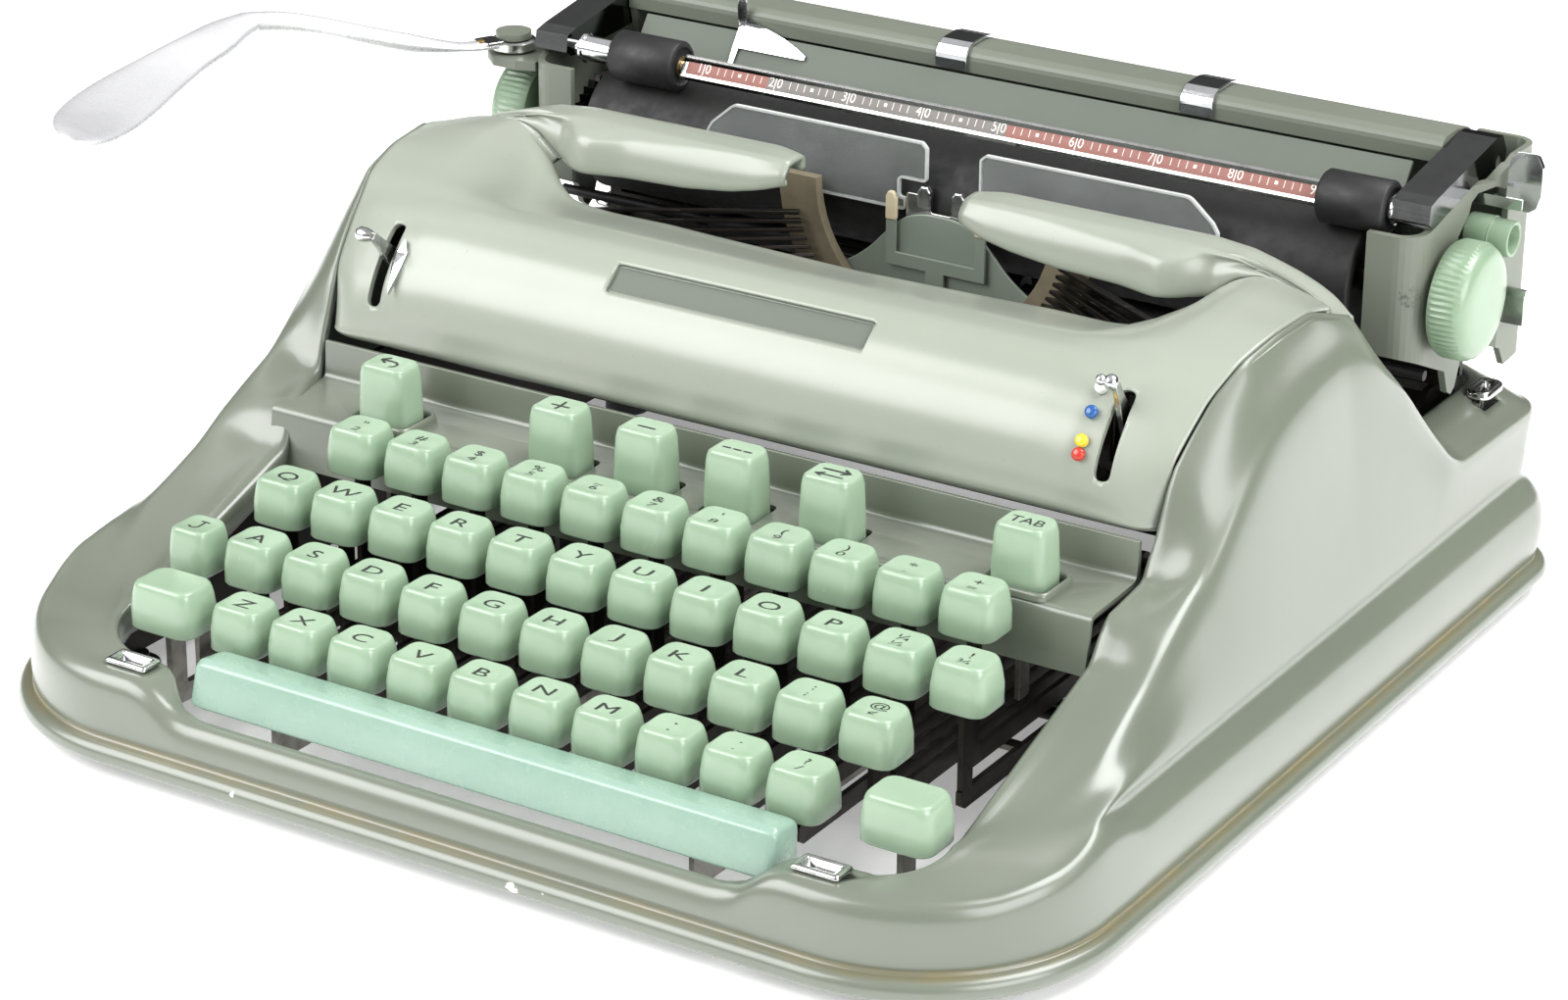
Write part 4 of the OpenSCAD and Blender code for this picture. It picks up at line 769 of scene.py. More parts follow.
# The cuts are applied here, so that they lift with the cover
depsgraph = bpy.context.evaluated_depsgraph_get()
cut_cover = bpy.data.meshes.new_from_object(cover.evaluated_get(depsgraph), preserve_all_data_layers=True,
                                            depsgraph=depsgraph)
cover.modifiers.clear()
cover.data = cut_cover

rings = [badge_ring(83.6, 11.6, 2.2, -2.2), badge_ring(80.6, 8.6, 1.1, -2.2),
         badge_ring(80.6, 8.6, 1.1, -0.95), badge_ring(79.6, 7.6, 0.8, -0.75),
         badge_ring(78.2, 6.2, 0.6, -0.78)]
verts, faces = loft(rings, False)
faces.append(tuple(range(len(verts) - len(rings[0]), len(verts))))
plate = outward(add_mesh("badge_panel", verts, faces, "cover", "cover_paint", table_paint, True, 30))
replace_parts(plate, "badge_plate")
border = [badge_ring(80.4, 8.4, 1.1, -0.85), badge_ring(80.25, 8.25, 1.1, -0.6),
          badge_ring(79.8, 7.8, 0.88, -0.6), badge_ring(79.65, 7.65, 0.88, -0.85)]
lofted("badge_border", border, "cover", "bright_chrome", badge_trim, 40, False)


# Character caps, space bar and shift keys
def hollow(shape, b):
    """Depth of a cap's dished top at b from its middle."""
    return shape["dish"] * (1 - min(1, (2 * b / shape["d_top"]) ** 2))


def cap_rings(shape):
    """Rings of a moulded key cap from its foot up to a dished top, centred on the origin at its top."""
    w_top, d_top, w_low, d_low, height, corner, _ = shape.values()
    stations = [(-height, 1.0, 0.94), (-height + 0.5, 1.0, 0.985), (-height * 0.55, 0.86, 0.995),
                (-3.2, 0.38, 1.0), (-1.7, 0.12, 0.995), (-0.8, 0.0, 0.975), (-0.25, 0.0, 0.935),
                (-0.02, 0.0, 0.88), (0.0, 0.0, 0.8)]
    rings = []
    for z, t, s in stations:
        outline = pill(mix(w_top, w_low, t) * s, mix(d_top, d_low, t) * s,
                       corner * mix(0.82, 1.0, t) * mix(0.9, 1, s), 7)
        rings.append([(a, b, z - hollow(shape, b) * clamp01(z + 1.0)) for a, b in outline])
    for s in (0.62, 0.42, 0.22, 0.06):
        rings.append([(a, b, -hollow(shape, b)) for a, b in pill(w_top * s, d_top * s, corner * s, 7)])
    return rings


CHAR = dict(w_top=13.9, d_top=12.2, w_low=16.3, d_low=14.9, height=13, corner=4.3, dish=0.75)
TALL = dict(w_top=13.9, d_top=10.4, w_low=15.9, d_low=12.3, height=23, corner=3.4, dish=0.6)
SHIFT_CAP = dict(w_top=18.6, d_top=13.4, w_low=20.9, d_low=15.5, height=13, corner=4.6, dish=0.2)
LOCK_CAP = dict(w_top=11.4, d_top=11.6, w_low=12.9, d_low=13.9, height=13, corner=3.6, dish=0.5)


def caps(name, spots, shape, body, replaced=None):
    """All the caps of a row as one piece; a spot is the place of a cap's top."""
    v, f = loft(cap_rings(shape))
    verts = np.concatenate([v + spot for spot in spots])
    faces = [tuple(i + k * len(v) for i in q) for k in range(len(spots)) for q in f]
    obj = outward(add_mesh(name, verts, faces, body, "key_plastic", key_mint))
    if replaced:
        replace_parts(obj, replaced)


PITCH = 19.0
# Body, x of the first key, y and z of the tops, and what is on them
ROWS = [("number_row", -89.05, 93.4, 68.3, ["\"\n2", "#\n3", "$\n4", "%\n5", "_\n6", "&\n7", "'\n8", "(\n9",
                                            ")\n0", "*\n-", "+\n="]),
        ("upper_row", -98.55, 73.2, 58.6, list("QWERTYUIOP") + ["\u00bc\n\u00bd", "!\n\u00be"]),
        ("home_row", -93.8, 54.1, 48.8, list("ASDFGHJKL") + [":\n;", "@\n\u00a2"]),
        ("lower_row", -84.3, 35.9, 39.1, list("ZXCVBNM") + [",\n,", ".\n.", "?\n/"])]
# The home key on the machine's middle line, which has a lever and a body of its own
LIVE_KEY = 5
TALL_TOP = 79
for row, first, y, z, texts in ROWS:
    spots = [(first + i * PITCH, y, z) for i in range(len(texts))]
    if row == "home_row":
        live_spot = spots.pop(LIVE_KEY)
    caps(f"caps_{row}", spots, CHAR, row, f"keys_{row}")
caps("cap_middle", [live_spot], CHAR, "middle_key", "live_key")
for body, x in TALL_KEYS.items():
    caps(f"cap_{body}", [(x, TALL_Y, TALL_TOP)], TALL, body, f"key_{body}")
SHIFT_X, SHIFT_Y = (-106, 117.5), 33
LOCK_AT = (-112.4, 52, 48.8)
caps("caps_shift", [(x, SHIFT_Y, 41) for x in SHIFT_X], SHIFT_CAP, "shifts")
caps("cap_lock", [LOCK_AT], LOCK_CAP, "lock")


SHEET = 1.6
SHIFT_SHEET = 2


def stem_plate(name, x, t, outline, body):
    prism(name, outline, x - t / 2, x + t / 2, "x", body, *STEEL, 0.15)


# The middle key keeps a lever of its own under its replaced cap
stem_plate("middle_key_lever", live_spot[0], SHEET,
           [[51.1, 22.6], [51.1, 19], [53.1, 17.5], [219, 17.5], [222, 16.2], [225.6, 18.4], [225.6, 21.8],
            [222, 24], [216, 22.6], [56.6, 22.6], [56.6, 36.6], [51.6, 36.6]], "middle_key")
for body, x in TALL_KEYS.items():
    stem_plate(f"stem_{body}", x, SHEET, [[110, 30], [115, 30], [115, 57], [110, 57]], body)


def arm_outline(y, top):
    return rounded([[y - 3, 5.6], [y + 3, 5.2], [150, 3], [154, 6], [150, 11], [y + 3, 10.4], [y + 3, top],
                    [y - 3, top]], [1, 0.5, 1, 3, 1, 1, 0.4, 0.4], 4)


for name, x, t, y, top, body in (("space_arm_left", -62.93, SHEET, 22, 18.5, "spacer"),
                                 ("space_arm_right", 65.33, SHEET, 22, 18.5, "spacer"),
                                 ("shift_arm_left", SHIFT_X[0], SHIFT_SHEET, SHIFT_Y, 28.6, "shifts"),
                                 ("shift_arm_right", SHIFT_X[1], SHIFT_SHEET, SHIFT_Y, 28.6, "shifts"),
                                 ("lock_arm", LOCK_AT[0], SHEET, LOCK_AT[1], 36.5, "lock")):
    stem_plate(name, x, t, arm_outline(y, top), body)
prism("shift_link", rounded([[136, 0.3], [140, 0.3], [140, 2.2], [136, 2.2]], 0.4), -106.9, 118.4, "x",
      "shifts", *STEEL, 0)
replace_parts(bpy.data.objects["shift_arm_left"], "shift_keys")
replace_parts(bpy.data.objects["lock_arm"], "shift_lock")

BAR_MID = np.array([20.8, 23.4])
bar_profile = rounded([[13.2, 17.6], [27.4, 17.6], [27.5, 28.6], [18.2, 30.0], [16.2, 28.9]],
                      [0.8, 0.8, 1.8, 1.6, 1.4], 5) - BAR_MID
bar_rings = []
for x, s in ((-86, 0.72), (-85.6, 0.86), (-84.8, 0.945), (-83.6, 0.985), (-82, 1), (-60, 1), (0, 1), (60, 1),
             (87, 1), (88.6, 0.985), (89.8, 0.945), (90.6, 0.86), (91, 0.72)):
    bar_rings.append([(x, BAR_MID[0] + a * mix(s, 1, 0.35), BAR_MID[1] + b * s) for a, b in bar_profile])
space = lofted("space_bar_cap", bar_rings, "spacer", "bar_plastic", bar_mint, 60)
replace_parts(space, "space_bar")


# Legends
def glyphs(name, text, size, **settings):
    """Points and faces of flat lettering in the default font."""
    curve = bpy.data.curves.new(name, "FONT")
    settings = dict(body=text, size=size, align_x="CENTER", align_y="CENTER", **settings)
    for key, value in settings.items():
        setattr(curve, key, value)
    holder = bpy.data.objects.new(name + "_src", curve)
    mesh = bpy.data.meshes.new_from_object(holder)
    bpy.data.objects.remove(holder)
    points = np.array([v.co for v in mesh.vertices])
    faces = [tuple(p.vertices) for p in mesh.polygons]
    bpy.data.meshes.remove(mesh)
    return points, faces


SIGN_LIFT = 0.05


def sign_on_cap(name, points, faces, place, body, shape):
    """A flat sign laid on the dished top of a cap."""
    x, y, z = place
    verts = [(x + a, y + b, z - hollow(shape, b) + SIGN_LIFT) for a, b in points]
    add_mesh(name, verts, faces, body, *INK, False)


def legend(name, text, place, size, body, shape, squash, wide=1.0):
    """Generic lettering, its middle at the place."""
    points, faces = glyphs(name, text, size, offset=0.001 * size, resolution_u=3)
    points = (points - (points.max(0) + points.min(0)) / 2)[:, :2] * (wide, squash)
    sign_on_cap(name, points, faces, place, body, shape)


def strokes(name, lines, place, body, shape, width):
    """Drawn signs made of strokes with round joints."""
    verts, faces = [], []
    for line in lines:
        for a, b in zip(np.array(line, float), np.array(line[1:], float)):
            length = np.linalg.norm(b - a)
            steps = max(1, int(length / 0.7))
            u = (b - a) / length
            n = np.array([-u[1], u[0]]) * width / 2
            base = len(verts)
            for k in range(steps + 1):
                c = a + (b - a) * k / steps
                verts += [c + n, c - n]
            faces += [(base + 2 * k, base + 2 * k + 1, base + 2 * k + 3, base + 2 * k + 2)
                      for k in range(steps)]
            for c in (a, b):
                faces.append(tuple(range(len(verts), len(verts) + 8)))
                verts += [c + width / 2 * np.array([math.cos(t), math.sin(t)])
                          for t in np.linspace(0, 2 * math.pi, 9)[:-1]]
    sign_on_cap(name, verts, faces, place, body, shape)


# Size of the lettering and its height as a share, for one sign on a cap and for two
ONE_SIGN = (7.4, 0.84)
TWO_SIGNS = (4.9, 0.78)
for r, (row, first, y, z, texts) in enumerate(ROWS):
    for i, text in enumerate(texts):
        body = "middle_key" if row == "home_row" and i == LIVE_KEY else row
        size, squash = TWO_SIGNS if "\n" in text else ONE_SIGN
        legend(f"legend_{r}_{i}", text, (first + i * PITCH, y - 0.2, z), size, body, CHAR, squash, 1.15)
legend("legend_tab", "TAB", (TALL_KEYS["tab"], TALL_Y + 0.4, TALL_TOP), 5.4, "tab", TALL, 0.95)


def curl(cx, cy, r, a0, a1, steps=8):
    """Points of an arc about (cx, cy) between two angles."""
    spokes = [cos_sin(mix(a0, a1, t / steps)) for t in range(steps + 1)]
    return [(cx + r * c, cy + r * s) for c, s in spokes]


SIGNS = {
    "backspace": ([(-3.4, 1.4), (0.4, 1.4)] + curl(0.4, -0.6, 2.0, 90, -60),
                  [(-1.8, 2.9), (-3.6, 1.4), (-1.8, -0.1)]),
    "plus": ([(-2.6, 0), (2.6, 0)], [(0, -2.5), (0, 2.5)]),
    "minus": ([(-2.5, 0), (2.5, 0)],),
    "dashes": ([(-4.2, 0), (-2.2, 0)], [(-0.95, 0), (0.95, 0)], [(2.2, 0), (4.2, 0)]),
    "arrows": ([(-3.6, 1.7), (4.0, 1.7)], [(2.2, 3.0), (4.1, 1.7), (2.2, 0.5)],
               [(-4.0, -1.7), (3.6, -1.7)], [(-2.2, -0.5), (-4.1, -1.7), (-2.2, -3.0)])}
for body, lines in SIGNS.items():
    strokes(f"legend_{body}", lines, (TALL_KEYS[body], TALL_Y, TALL_TOP), body, TALL, 0.8)
LOCK_SIGN = ([(0.8, 2.2), (0.8, -0.8)] + curl(-0.6, -0.8, 1.4, 0, -150), [(-0.4, 2.2), (2.0, 2.2)])
strokes("legend_lock", LOCK_SIGN, LOCK_AT, "lock", LOCK_CAP, 0.55)


# Return lever: a round neck that widens into a polished blade
def section_rings(stations, count=28):
    """Superellipse sections: centre, half-width vector, half thickness, exponent."""
    rings = []
    for centre, across, thick, power in stations:
        ring = []
        for k in range(count):
            a = 2 * math.pi * k / count
            c, s = math.cos(a), math.sin(a)
            u = math.copysign(abs(c) ** (2 / power), c)
            v = math.copysign(abs(s) ** (2 / power), s)
            ring.append(np.array(centre) + np.array(across) * u + np.array([0, 0, thick]) * v)
        rings.append(ring)
    return rings


# Left edge x and y, right edge x and y, height, roll of the right edge
LEVER_EDGES = [[-185.5, 93.5, -183.5, 93.0, 130.6, 0], [-193.5, 96.4, -177.5, 93.4, 130.8, 1.3],
               [-201.0, 103.5, -175.0, 99.0, 131.0, 2.6], [-206.0, 113.0, -175.8, 109.5, 131.2, 3.5],
               [-209.4, 127.0, -179.5, 125.0, 132.0, 4.0], [-210.6, 142.0, -185.0, 143.0, 133.0, 4.0],
               [-210.9, 157.0, -189.6, 160.0, 134.0, 3.6], [-211.2, 171.0, -192.5, 175.0, 134.8, 2.8],
               [-212.0, 185.0, -196.8, 187.5, 135.0, 1.6], [-210.8, 197.0, -199.5, 194.0, 134.6, 0.4]]
lever_rows = spline(LEVER_EDGES, 6)
lever_stations = []
for i, (lx, ly, rx, ry, z, roll) in enumerate(lever_rows):
    t = i / (len(lever_rows) - 1)
    left_edge = np.array([lx, ly, z - 0.4])
    right_edge = np.array([rx - 2.07 * roll, ry + 2.3 * roll, z - roll])
    if t < 0.6:
        thick = mix(1.1, 1.9, clamp01(t / 0.5)) * min(1.0, 0.35 + 4 * t)
    else:
        thick = mix(1.9, 3.2, (t - 0.6) / 0.4)
    power = 2.6 if t < 0.7 else mix(2.6, 2.0, (t - 0.7) / 0.3)
    lever_stations.append(((left_edge + right_edge) / 2, (left_edge - right_edge) / 2, thick, power))
neck = spline([[-205.1, 195.5, 134.6], [-200.5, 203.5, 133.6], [-192.5, 211.0, 131.8],
               [-183.0, 218.6, 129.0], [-174.0, 228.0, 125.6], [-167.0, 238.0, 122.8],
               [-162.0, 247.0, 121.2], [-159.2, 254.0, 120.9]], 6)
for i in range(2, len(neck)):
    d = neck[min(i + 1, len(neck) - 1)] - neck[i - 1]
    side = np.cross(d, [0, 0, 1])
    side = side / np.linalg.norm(side)
    t = i / (len(neck) - 1)
    radius = mix(4.6, 3.0, clamp01(t / 0.25)) if t < 0.8 else mix(3.0, 3.9, (t - 0.8) / 0.2)
    thick = mix(min(radius, 3.1), 1.4, clamp01((t - 0.6) / 0.2))
    lever_stations.append((neck[i], side * -radius, thick, 2.0))
lever = lofted("return_blade", section_rings(lever_stations), "line_lever", "bright_chrome", lever_metal, 70)
lathe("lever_ring", mirrored([(1.2, 6.9), (1.6, 6.4), (1.6, 2.8)]), (-157, 262, 119.35), "z", "line_lever",
      *WORN, 48, True)
lathe("lever_rivet", [(-0.4, 0), (-0.4, 1.3), (0.2, 1.3), (0.5, 0.9), (0.6, 0)], (-160.2, 249.6, 122.5),
      "z", "line_lever", "bright_chrome", brass, 24)
prism("lever_tab", rounded([[-164, 250.5], [-157, 248.5], [-154, 254], [-161, 256.5]], 1.2), 121.6, 122.5,
      "z", "line_lever", *WORN, 0.25)
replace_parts(lever, "return_lever")


# Platen and its knobs
AXLE = (0, 270, 97.5)
RIB_DEPTH = 0.42
platen = lathe("platen_roll", mirrored([(124.2, 19), (124.6, 18.9), (125, 18.4), (125, 16)]), AXLE, "x",
               "roller", "black_rubber", platen_rubber, 128, True)
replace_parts(platen, "platen")


def ribbed_knob(name, x_in, x_out, node, ribs=60):
    """A moulded knob: ribbed band with rounded shoulders and a smooth, slightly domed face."""
    stations = [(0.0, 15.2, 0), (0.5, 15.7, 0), (1.2, 16.1, 1), (1.8, 16.5, 1), (7.4, 16.5, 1),
                (8.0, 16.3, 1), (8.5, 15.9, 0), (9.6, 15.4, 0), (10.6, 14.2, 0), (11.2, 12.2, 0),
                (11.45, 9.0, 0), (11.5, 4.0, 0)]
    angles = [2 * math.pi * k / (ribs * 4) for k in range(ribs * 4)]
    rings = []
    for t, r, ribbed in stations:
        x = mix(x_in, x_out, t / stations[-1][0])
        radii = [r - ribbed * RIB_DEPTH * (0.5 - 0.5 * math.cos(a * ribs)) ** 0.7 for a in angles]
        rings.append([(x, AXLE[1] + q * math.cos(a), AXLE[2] + q * math.sin(a))
                      for q, a in zip(radii, angles)])
    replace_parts(lofted(name, rings, "roller", "knob_plastic", knob_mint, 38), node)


ribbed_knob("platen_knob_right", 147, 158.5, "knob_right")
ribbed_knob("platen_knob_left", -149, -162.5, "knob_left")

# Bail: tube, scale strip with its numbers, and the rollers
BAIL_Y, BAIL_Z = 261.0, 122.75
lathe("bail_tube", mirrored([(136, 2.0), (136, 0)]), (0, BAIL_Y, BAIL_Z), "x", "bail", *CHROME, 32)
SLEEVE = [(-6, 1.9), (-6, 3.9), (-5.5, 4.5), (-4.8, 4.5), (-4.3, 3.9), (4.4, 3.8), (5.4, 3.6), (5.4, 1.9)]
for tag, x in (("left", -124.5), ("right", 139.0)):
    lathe(f"bail_sleeve_{tag}", SLEEVE, (x, BAIL_Y, BAIL_Z), "x", "bail", *CHROME, 40, True)
TYRE_END = [(0, 2.1), (0, 3.4), (0.5, 3.5), (0.5, 5.4), (0.05, 5.8), (0.2, 6.8), (1.0, 7.5)]
for tag, x, span in (("left", -118.0, 22.5), ("right", 112.5, 20.5)):
    tyre = TYRE_END + [(span - t, r) for t, r in reversed(TYRE_END)]
    lathe(f"bail_roller_{tag}", tyre, (x, BAIL_Y, BAIL_Z), "x", "bail_wheels", "black_rubber", black_rubber,
          64, True, 50)
    for end, t0, t1 in (("a", -0.15, 0.6), ("b", span - 0.6, span + 0.15)):
        lathe(f"bail_core_{tag}_{end}", [(t0, 2.15), (t0, 3.3), (t1, 3.3), (t1, 2.15)], (x, BAIL_Y, BAIL_Z),
              "x", "bail_wheels", "black_rubber", brass, 40, True)
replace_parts(bpy.data.objects["bail_roller_left"], "bail_rollers")

TILT = math.radians(35)
STRIP_UP = np.array([0, math.sin(TILT), math.cos(TILT)])
STRIP_OUT = np.array([0, -math.cos(TILT), math.sin(TILT)])
STRIP_MID = np.array([0, BAIL_Y, BAIL_Z]) + STRIP_OUT * 2.2


def strip_at(x, up, out=0.0):
    """A point of the scale strip: along the bail, up its slope and out from it."""
    return np.array([x, 0, 0]) + STRIP_MID + STRIP_UP * up + STRIP_OUT * out


def strip_panel(name, x0, x1, half, out, material):
    profile = [(-half, out - 0.35), (-half, out), (-half + 0.15, out + 0.08), (half - 0.15, out + 0.08),
               (half, out), (half, out - 0.35)]
    rings = [[strip_at(x, u, o) for u, o in profile] for x in (x0, x1)]
    lofted(name, rings, "bail", "bright_chrome", material, 30)


def strip_marks(name, marks, material):
    """Rectangles on the scale: middle, half width and half height."""
    verts, faces = [], []
    for k, (x, w, h) in enumerate(marks):
        verts += [strip_at(x + w * u, h * v, 0.23) for u, v in ((-1, -1), (1, -1), (1, 1), (-1, 1))]
        faces.append(tuple(range(4 * k, 4 * k + 4)))
    add_mesh(name, verts, faces, "bail", "bright_chrome", material, False)


def strip_number(name, digit, x):
    points, faces = glyphs(name, digit, 4.3)
    verts = [strip_at(x + a * 0.85, b, 0.24) for a, b, _ in points]
    add_mesh(name, verts, faces, "bail", "bright_chrome", scale_ink, False)


# The place of the first long mark, and the length of ten divisions
MARK = -86.7
TEN = 24.75
strip_panel("bail_strip", -94, 111.5, 3.4, 0.0, worn_chrome)
for letter, x0, x1, material in (("a", -92.5, MARK + TEN - 2.6, scale_pink),
                                 ("b", MARK + TEN - 2.6, MARK + 4.1 * TEN, scale_grey),
                                 ("c", MARK + 4.1 * TEN, 111.0, scale_pink)):
    strip_panel(f"scale_field_{letter}", x0, x1, 2.35, 0.12, material)
ticks = [(MARK + k * TEN / 10, *((0.1, 1.1) if k % 10 else (0.16, 2.0)))
         for k in range(83) if k % 10 not in (1, 5, 9)]
strip_marks("scale_ticks", ticks, scale_ink)
strip_marks("scale_dots", [(MARK + (k + 0.5) * TEN, 0.5, 0.5) for k in range(8)], scale_white)
for k in range(1, 9):
    strip_number(f"scale_{k}{k}", str(k), MARK + (k - 1) * TEN - 1.35)
    strip_number(f"scale_{k}0", "0", MARK + (k - 1) * TEN + 1.45)
strip_number("scale_9", "9", MARK + 8 * TEN - 1.35)


# Slot levers, pointer and coloured dots on the cover
HUB_Y, HUB_Z = 150, 88


def slot_lever(name, x, turn, body, node):
    """A pressed blade and its hub; gives back the function that turns a point with them."""
    c, s = cos_sin(turn)

    def place(y, z):
        dy, dz = y - HUB_Y, z - HUB_Z
        return [HUB_Y + dy * c - dz * s, HUB_Z + dy * s + dz * c]

    outline = rounded([[147, 85], [153.5, 87], [152, 92], [137.5, 102.9], [134.2, 105.8], [132.6, 104.2],
                       [135.6, 100.6]], [2, 3, 1, 2, 0.8, 0.8, 2], 4)
    obj = prism(name, [place(y, z) for y, z in outline], x - 0.8, x + 0.8, "x", body, *WORN, 0.25)
    lathe(name + "_hub", mirrored([(1.3, 4), (1.6, 3.8), (1.6, 1.6)]), (x, HUB_Y, HUB_Z), "x", body,
          "bright_chrome", steel, 32, True)
    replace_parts(obj, node)
    return place


slot_lever("touch_blade", -SLOT_X, 0, "touch_control", "touch_lever")
grip = [(-4.2, 0), (-4.05, 1.0), (-3.5, 1.8), (-2.6, 2.15), (-1.0, 2.1), (0.4, 1.7), (1.2, 1.3), (1.3, 0)]
lathe("touch_tab", grip, (-SLOT_X - 1.2, 133.5, 104.6), "x", "touch_control", *WORN, 36)
place_tip = slot_lever("selector_blade", SLOT_X, -16, "ribbon_control", "ribbon_selector")
tip_y, tip_z = place_tip(133.6, 105.0)
ball = mirrored([(0, 2.15), (0.7, 2.0), (1.4, 1.6), (1.9, 0.9), (2.1, 0)])
lathe("selector_tip", ball, (SLOT_X - 1.2, tip_y, tip_z), "x", "ribbon_control", *CHROME, 32)
lathe("selector_bead", [(t * 0.72, r * 0.72) for t, r in ball], (SLOT_X - 4.0, tip_y - 0.2, tip_z + 0.1),
      "x", "ribbon_control", *CHROME, 32)

# Long pointer with a raised ridge, four-sided like a compass needle
needle = [(0.6, -8.2, 0), (-0.5, -4.2, 0), (-1.4, -0.6, 0), (-2.2, 3.1, 0), (-0.4, 8.2, 0), (1.75, 4.3, 0),
          (1.5, -0.2, 0), (1.1, -4.0, 0)]
ridge = [(0.5, -6.6, 0.5), (0.3, -4.1, 1.0), (0.05, -0.4, 1.4), (-0.25, 3.7, 1.7)]
points = [(u, v, w + 0.3) for u, v, w in needle + ridge] + [(u, v, -0.9) for u, v, _ in needle]
verts = on_slope(-SLOT_X + 5.6, 136.6, 95.9, 50.5, points)
faces = [(0, 1, 8), (1, 9, 8), (1, 2, 9), (2, 10, 9), (2, 3, 10), (3, 11, 10), (3, 4, 11), (4, 5, 11),
         (5, 10, 11), (5, 6, 10), (6, 9, 10), (6, 7, 9), (7, 8, 9), (7, 0, 8)]
faces += [(i, (i + 1) % 8, (i + 1) % 8 + 12, i + 12) for i in range(8)] + [tuple(range(19, 11, -1))]
pointer = outward(add_mesh("pointer_needle", verts, faces, "cover", *CHROME, False))
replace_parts(pointer, "pointer_ornament")

# The dots: y, z, slope of the cover at each and its colour
DOTS = [(133.1, 90.1, 64, dot_red), (134.7, 93.3, 56, dot_yellow), (139.4, 99.5, 50, dot_blue),
        (144.3, 104.6, 46, dot_white)]
DOT_R = 1.75
circle = [cos_sin(15 * k) for k in range(24)]
dot_dome = [cos_sin(t) for t in (0, 22, 44, 64, 80)]
dot_sections = [(DOT_R, -0.6)] + [(DOT_R * c, 0.85 * s + 0.35) for c, s in dot_dome]
for i, (y, z, slope, material) in enumerate(DOTS):
    rings = [on_slope(SLOT_X - 6.8, y, z, slope, [(r * c, r * s, h) for c, s in circle])
             for r, h in dot_sections]
    lofted(f"colour_dot_{i}", rings, "cover", "dot_enamel", material, 60)
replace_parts(bpy.data.objects["colour_dot_0"], "selector_dots")


# Type bars: blackened blades with bright heads
BAR_R = 44.5
PRINT_Z = 104.0
BARS = 21
FIRST_ANGLE = 4.5
FAN_ANGLE = 71.5
BOX_FACES = ((0, 1, 2, 3), (7, 6, 5, 4), (0, 4, 5, 1), (1, 5, 6, 2), (2, 6, 7, 3), (3, 7, 4, 0))


def add_box(shape, p, q, up, w0, h0, w1, h1):
    """Adds a tapering box from p to q, with its width and height at each end."""
    verts, faces = shape
    d = (q - p) / np.linalg.norm(q - p)
    side = np.cross(d, up)
    side /= np.linalg.norm(side)
    top = np.cross(side, d)
    faces += [tuple(i + len(verts) for i in face) for face in BOX_FACES]
    for c, w, h in ((p, w0, h0), (q, w1, h1)):
        verts += [c + side * w / 2 * i + top * h / 2 * j for i, j in ((1, 1), (-1, 1), (-1, -1), (1, -1))]


# Each bar runs from p on the segment to its head at q, fanned out on either side
blades, heads = ([], []), ([], [])
for s in (-1, 1):
    for i in range(1, BARS + 1):
        cosine, sine = cos_sin(FIRST_ANGLE + i * FAN_ANGLE / BARS)
        p = np.array([s * BAR_R * sine, 242.2 + 0.8 * cosine ** 2, PRINT_Z - BAR_R * cosine])
        q = np.array([s * 100 * sine, 193 + 24 * (1 - cosine), 103 - 42 * cosine])
        d = (q - p) / np.linalg.norm(q - p)
        up = np.cross([s * cosine, 0, sine], d)
        up *= math.copysign(1 / np.linalg.norm(up), up[2])
        mid = mix(p, q, 0.55)
        add_box(blades, p, mid, up, 1.1, 3.4, 1.0, 2.8)
        add_box(blades, mid, q - d * 0.5, up, 1.0, 2.8, 1.0, 2.3)
        add_box(heads, q - d * 1.2, q + d * 3.0, up, 1.7, 7.4, 1.5, 6.8)
        for k in (-1, 1):
            c = q + d * 3.2 + up * 1.9 * k
            add_box(heads, c - d * 0.5, c + d * 0.4, up, 1.3, 2.4, 1.1, 2.0)
for name, shape, material in (("bar_blades", blades, bar_black), ("bar_heads", heads, head_metal)):
    bevel(outward(add_mesh(name, *shape, "chassis", "lever_steel", material, True, 30)), 0.15, 2, 40)
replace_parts(bpy.data.objects["bar_blades"], "typebar_basket")

# Front and rear faces of the plates in the type opening
SHIELD_Y = (247.3, 248.3)
GUIDE_Y = (248.7, 249.9)
CHEEK_Y = (248.2, 250.5)
CARD_Y = (248.9, 249.8)
TIP_Y = (245.2, 246.9)

# Shield over the segment, and the type guide
arch = mirrored(spline([(0, 98.5), (5, 98.2), (10, 96.8), (14.5, 93.8), (18.5, 89.6), (22.5, 85.4),
                        (27, 81.8), (31.5, 79), (35, 77)], 4))[::-1]
shield_line = rounded(arch + [(-38, 70), (-38, 52), (38, 52), (38, 70)], [0] * len(arch) + [4, 2, 2, 4], 5)
shield = prism("shield_plate", shield_line, *SHIELD_Y, "y", "chassis", "case_paint", shield_paint, 0.3)
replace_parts(shield, "segment_shield")
guide_line = rounded([[-11.5, 88], [11.5, 88], [11.5, 103.5], [3.4, 103.5], [3.4, 98.6], [-3.4, 98.6],
                      [-3.4, 103.5], [-11.5, 103.5]], [0.4, 0.4, 1.2, 0.5, 0.8, 0.8, 0.5, 1.2], 4)
guide = prism("guide_plate", guide_line, *GUIDE_Y, "y", "chassis", *WORN, 0.2)
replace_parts(guide, "type_guide")
for s, tag in ((-1, "left"), (1, "right")):
    cheek = rounded([[s * 3.5, 99.6], [s * 7.6, 99.6], [s * 7.6, 104.6], [s * 6.4, 106.2], [s * 4.6, 106.2],
                     [s * 3.5, 104.6]], 0.8, 4)
    prism(f"guide_cheek_{tag}", cheek, *CHEEK_Y, "y", "chassis", *CHROME, 0.45)
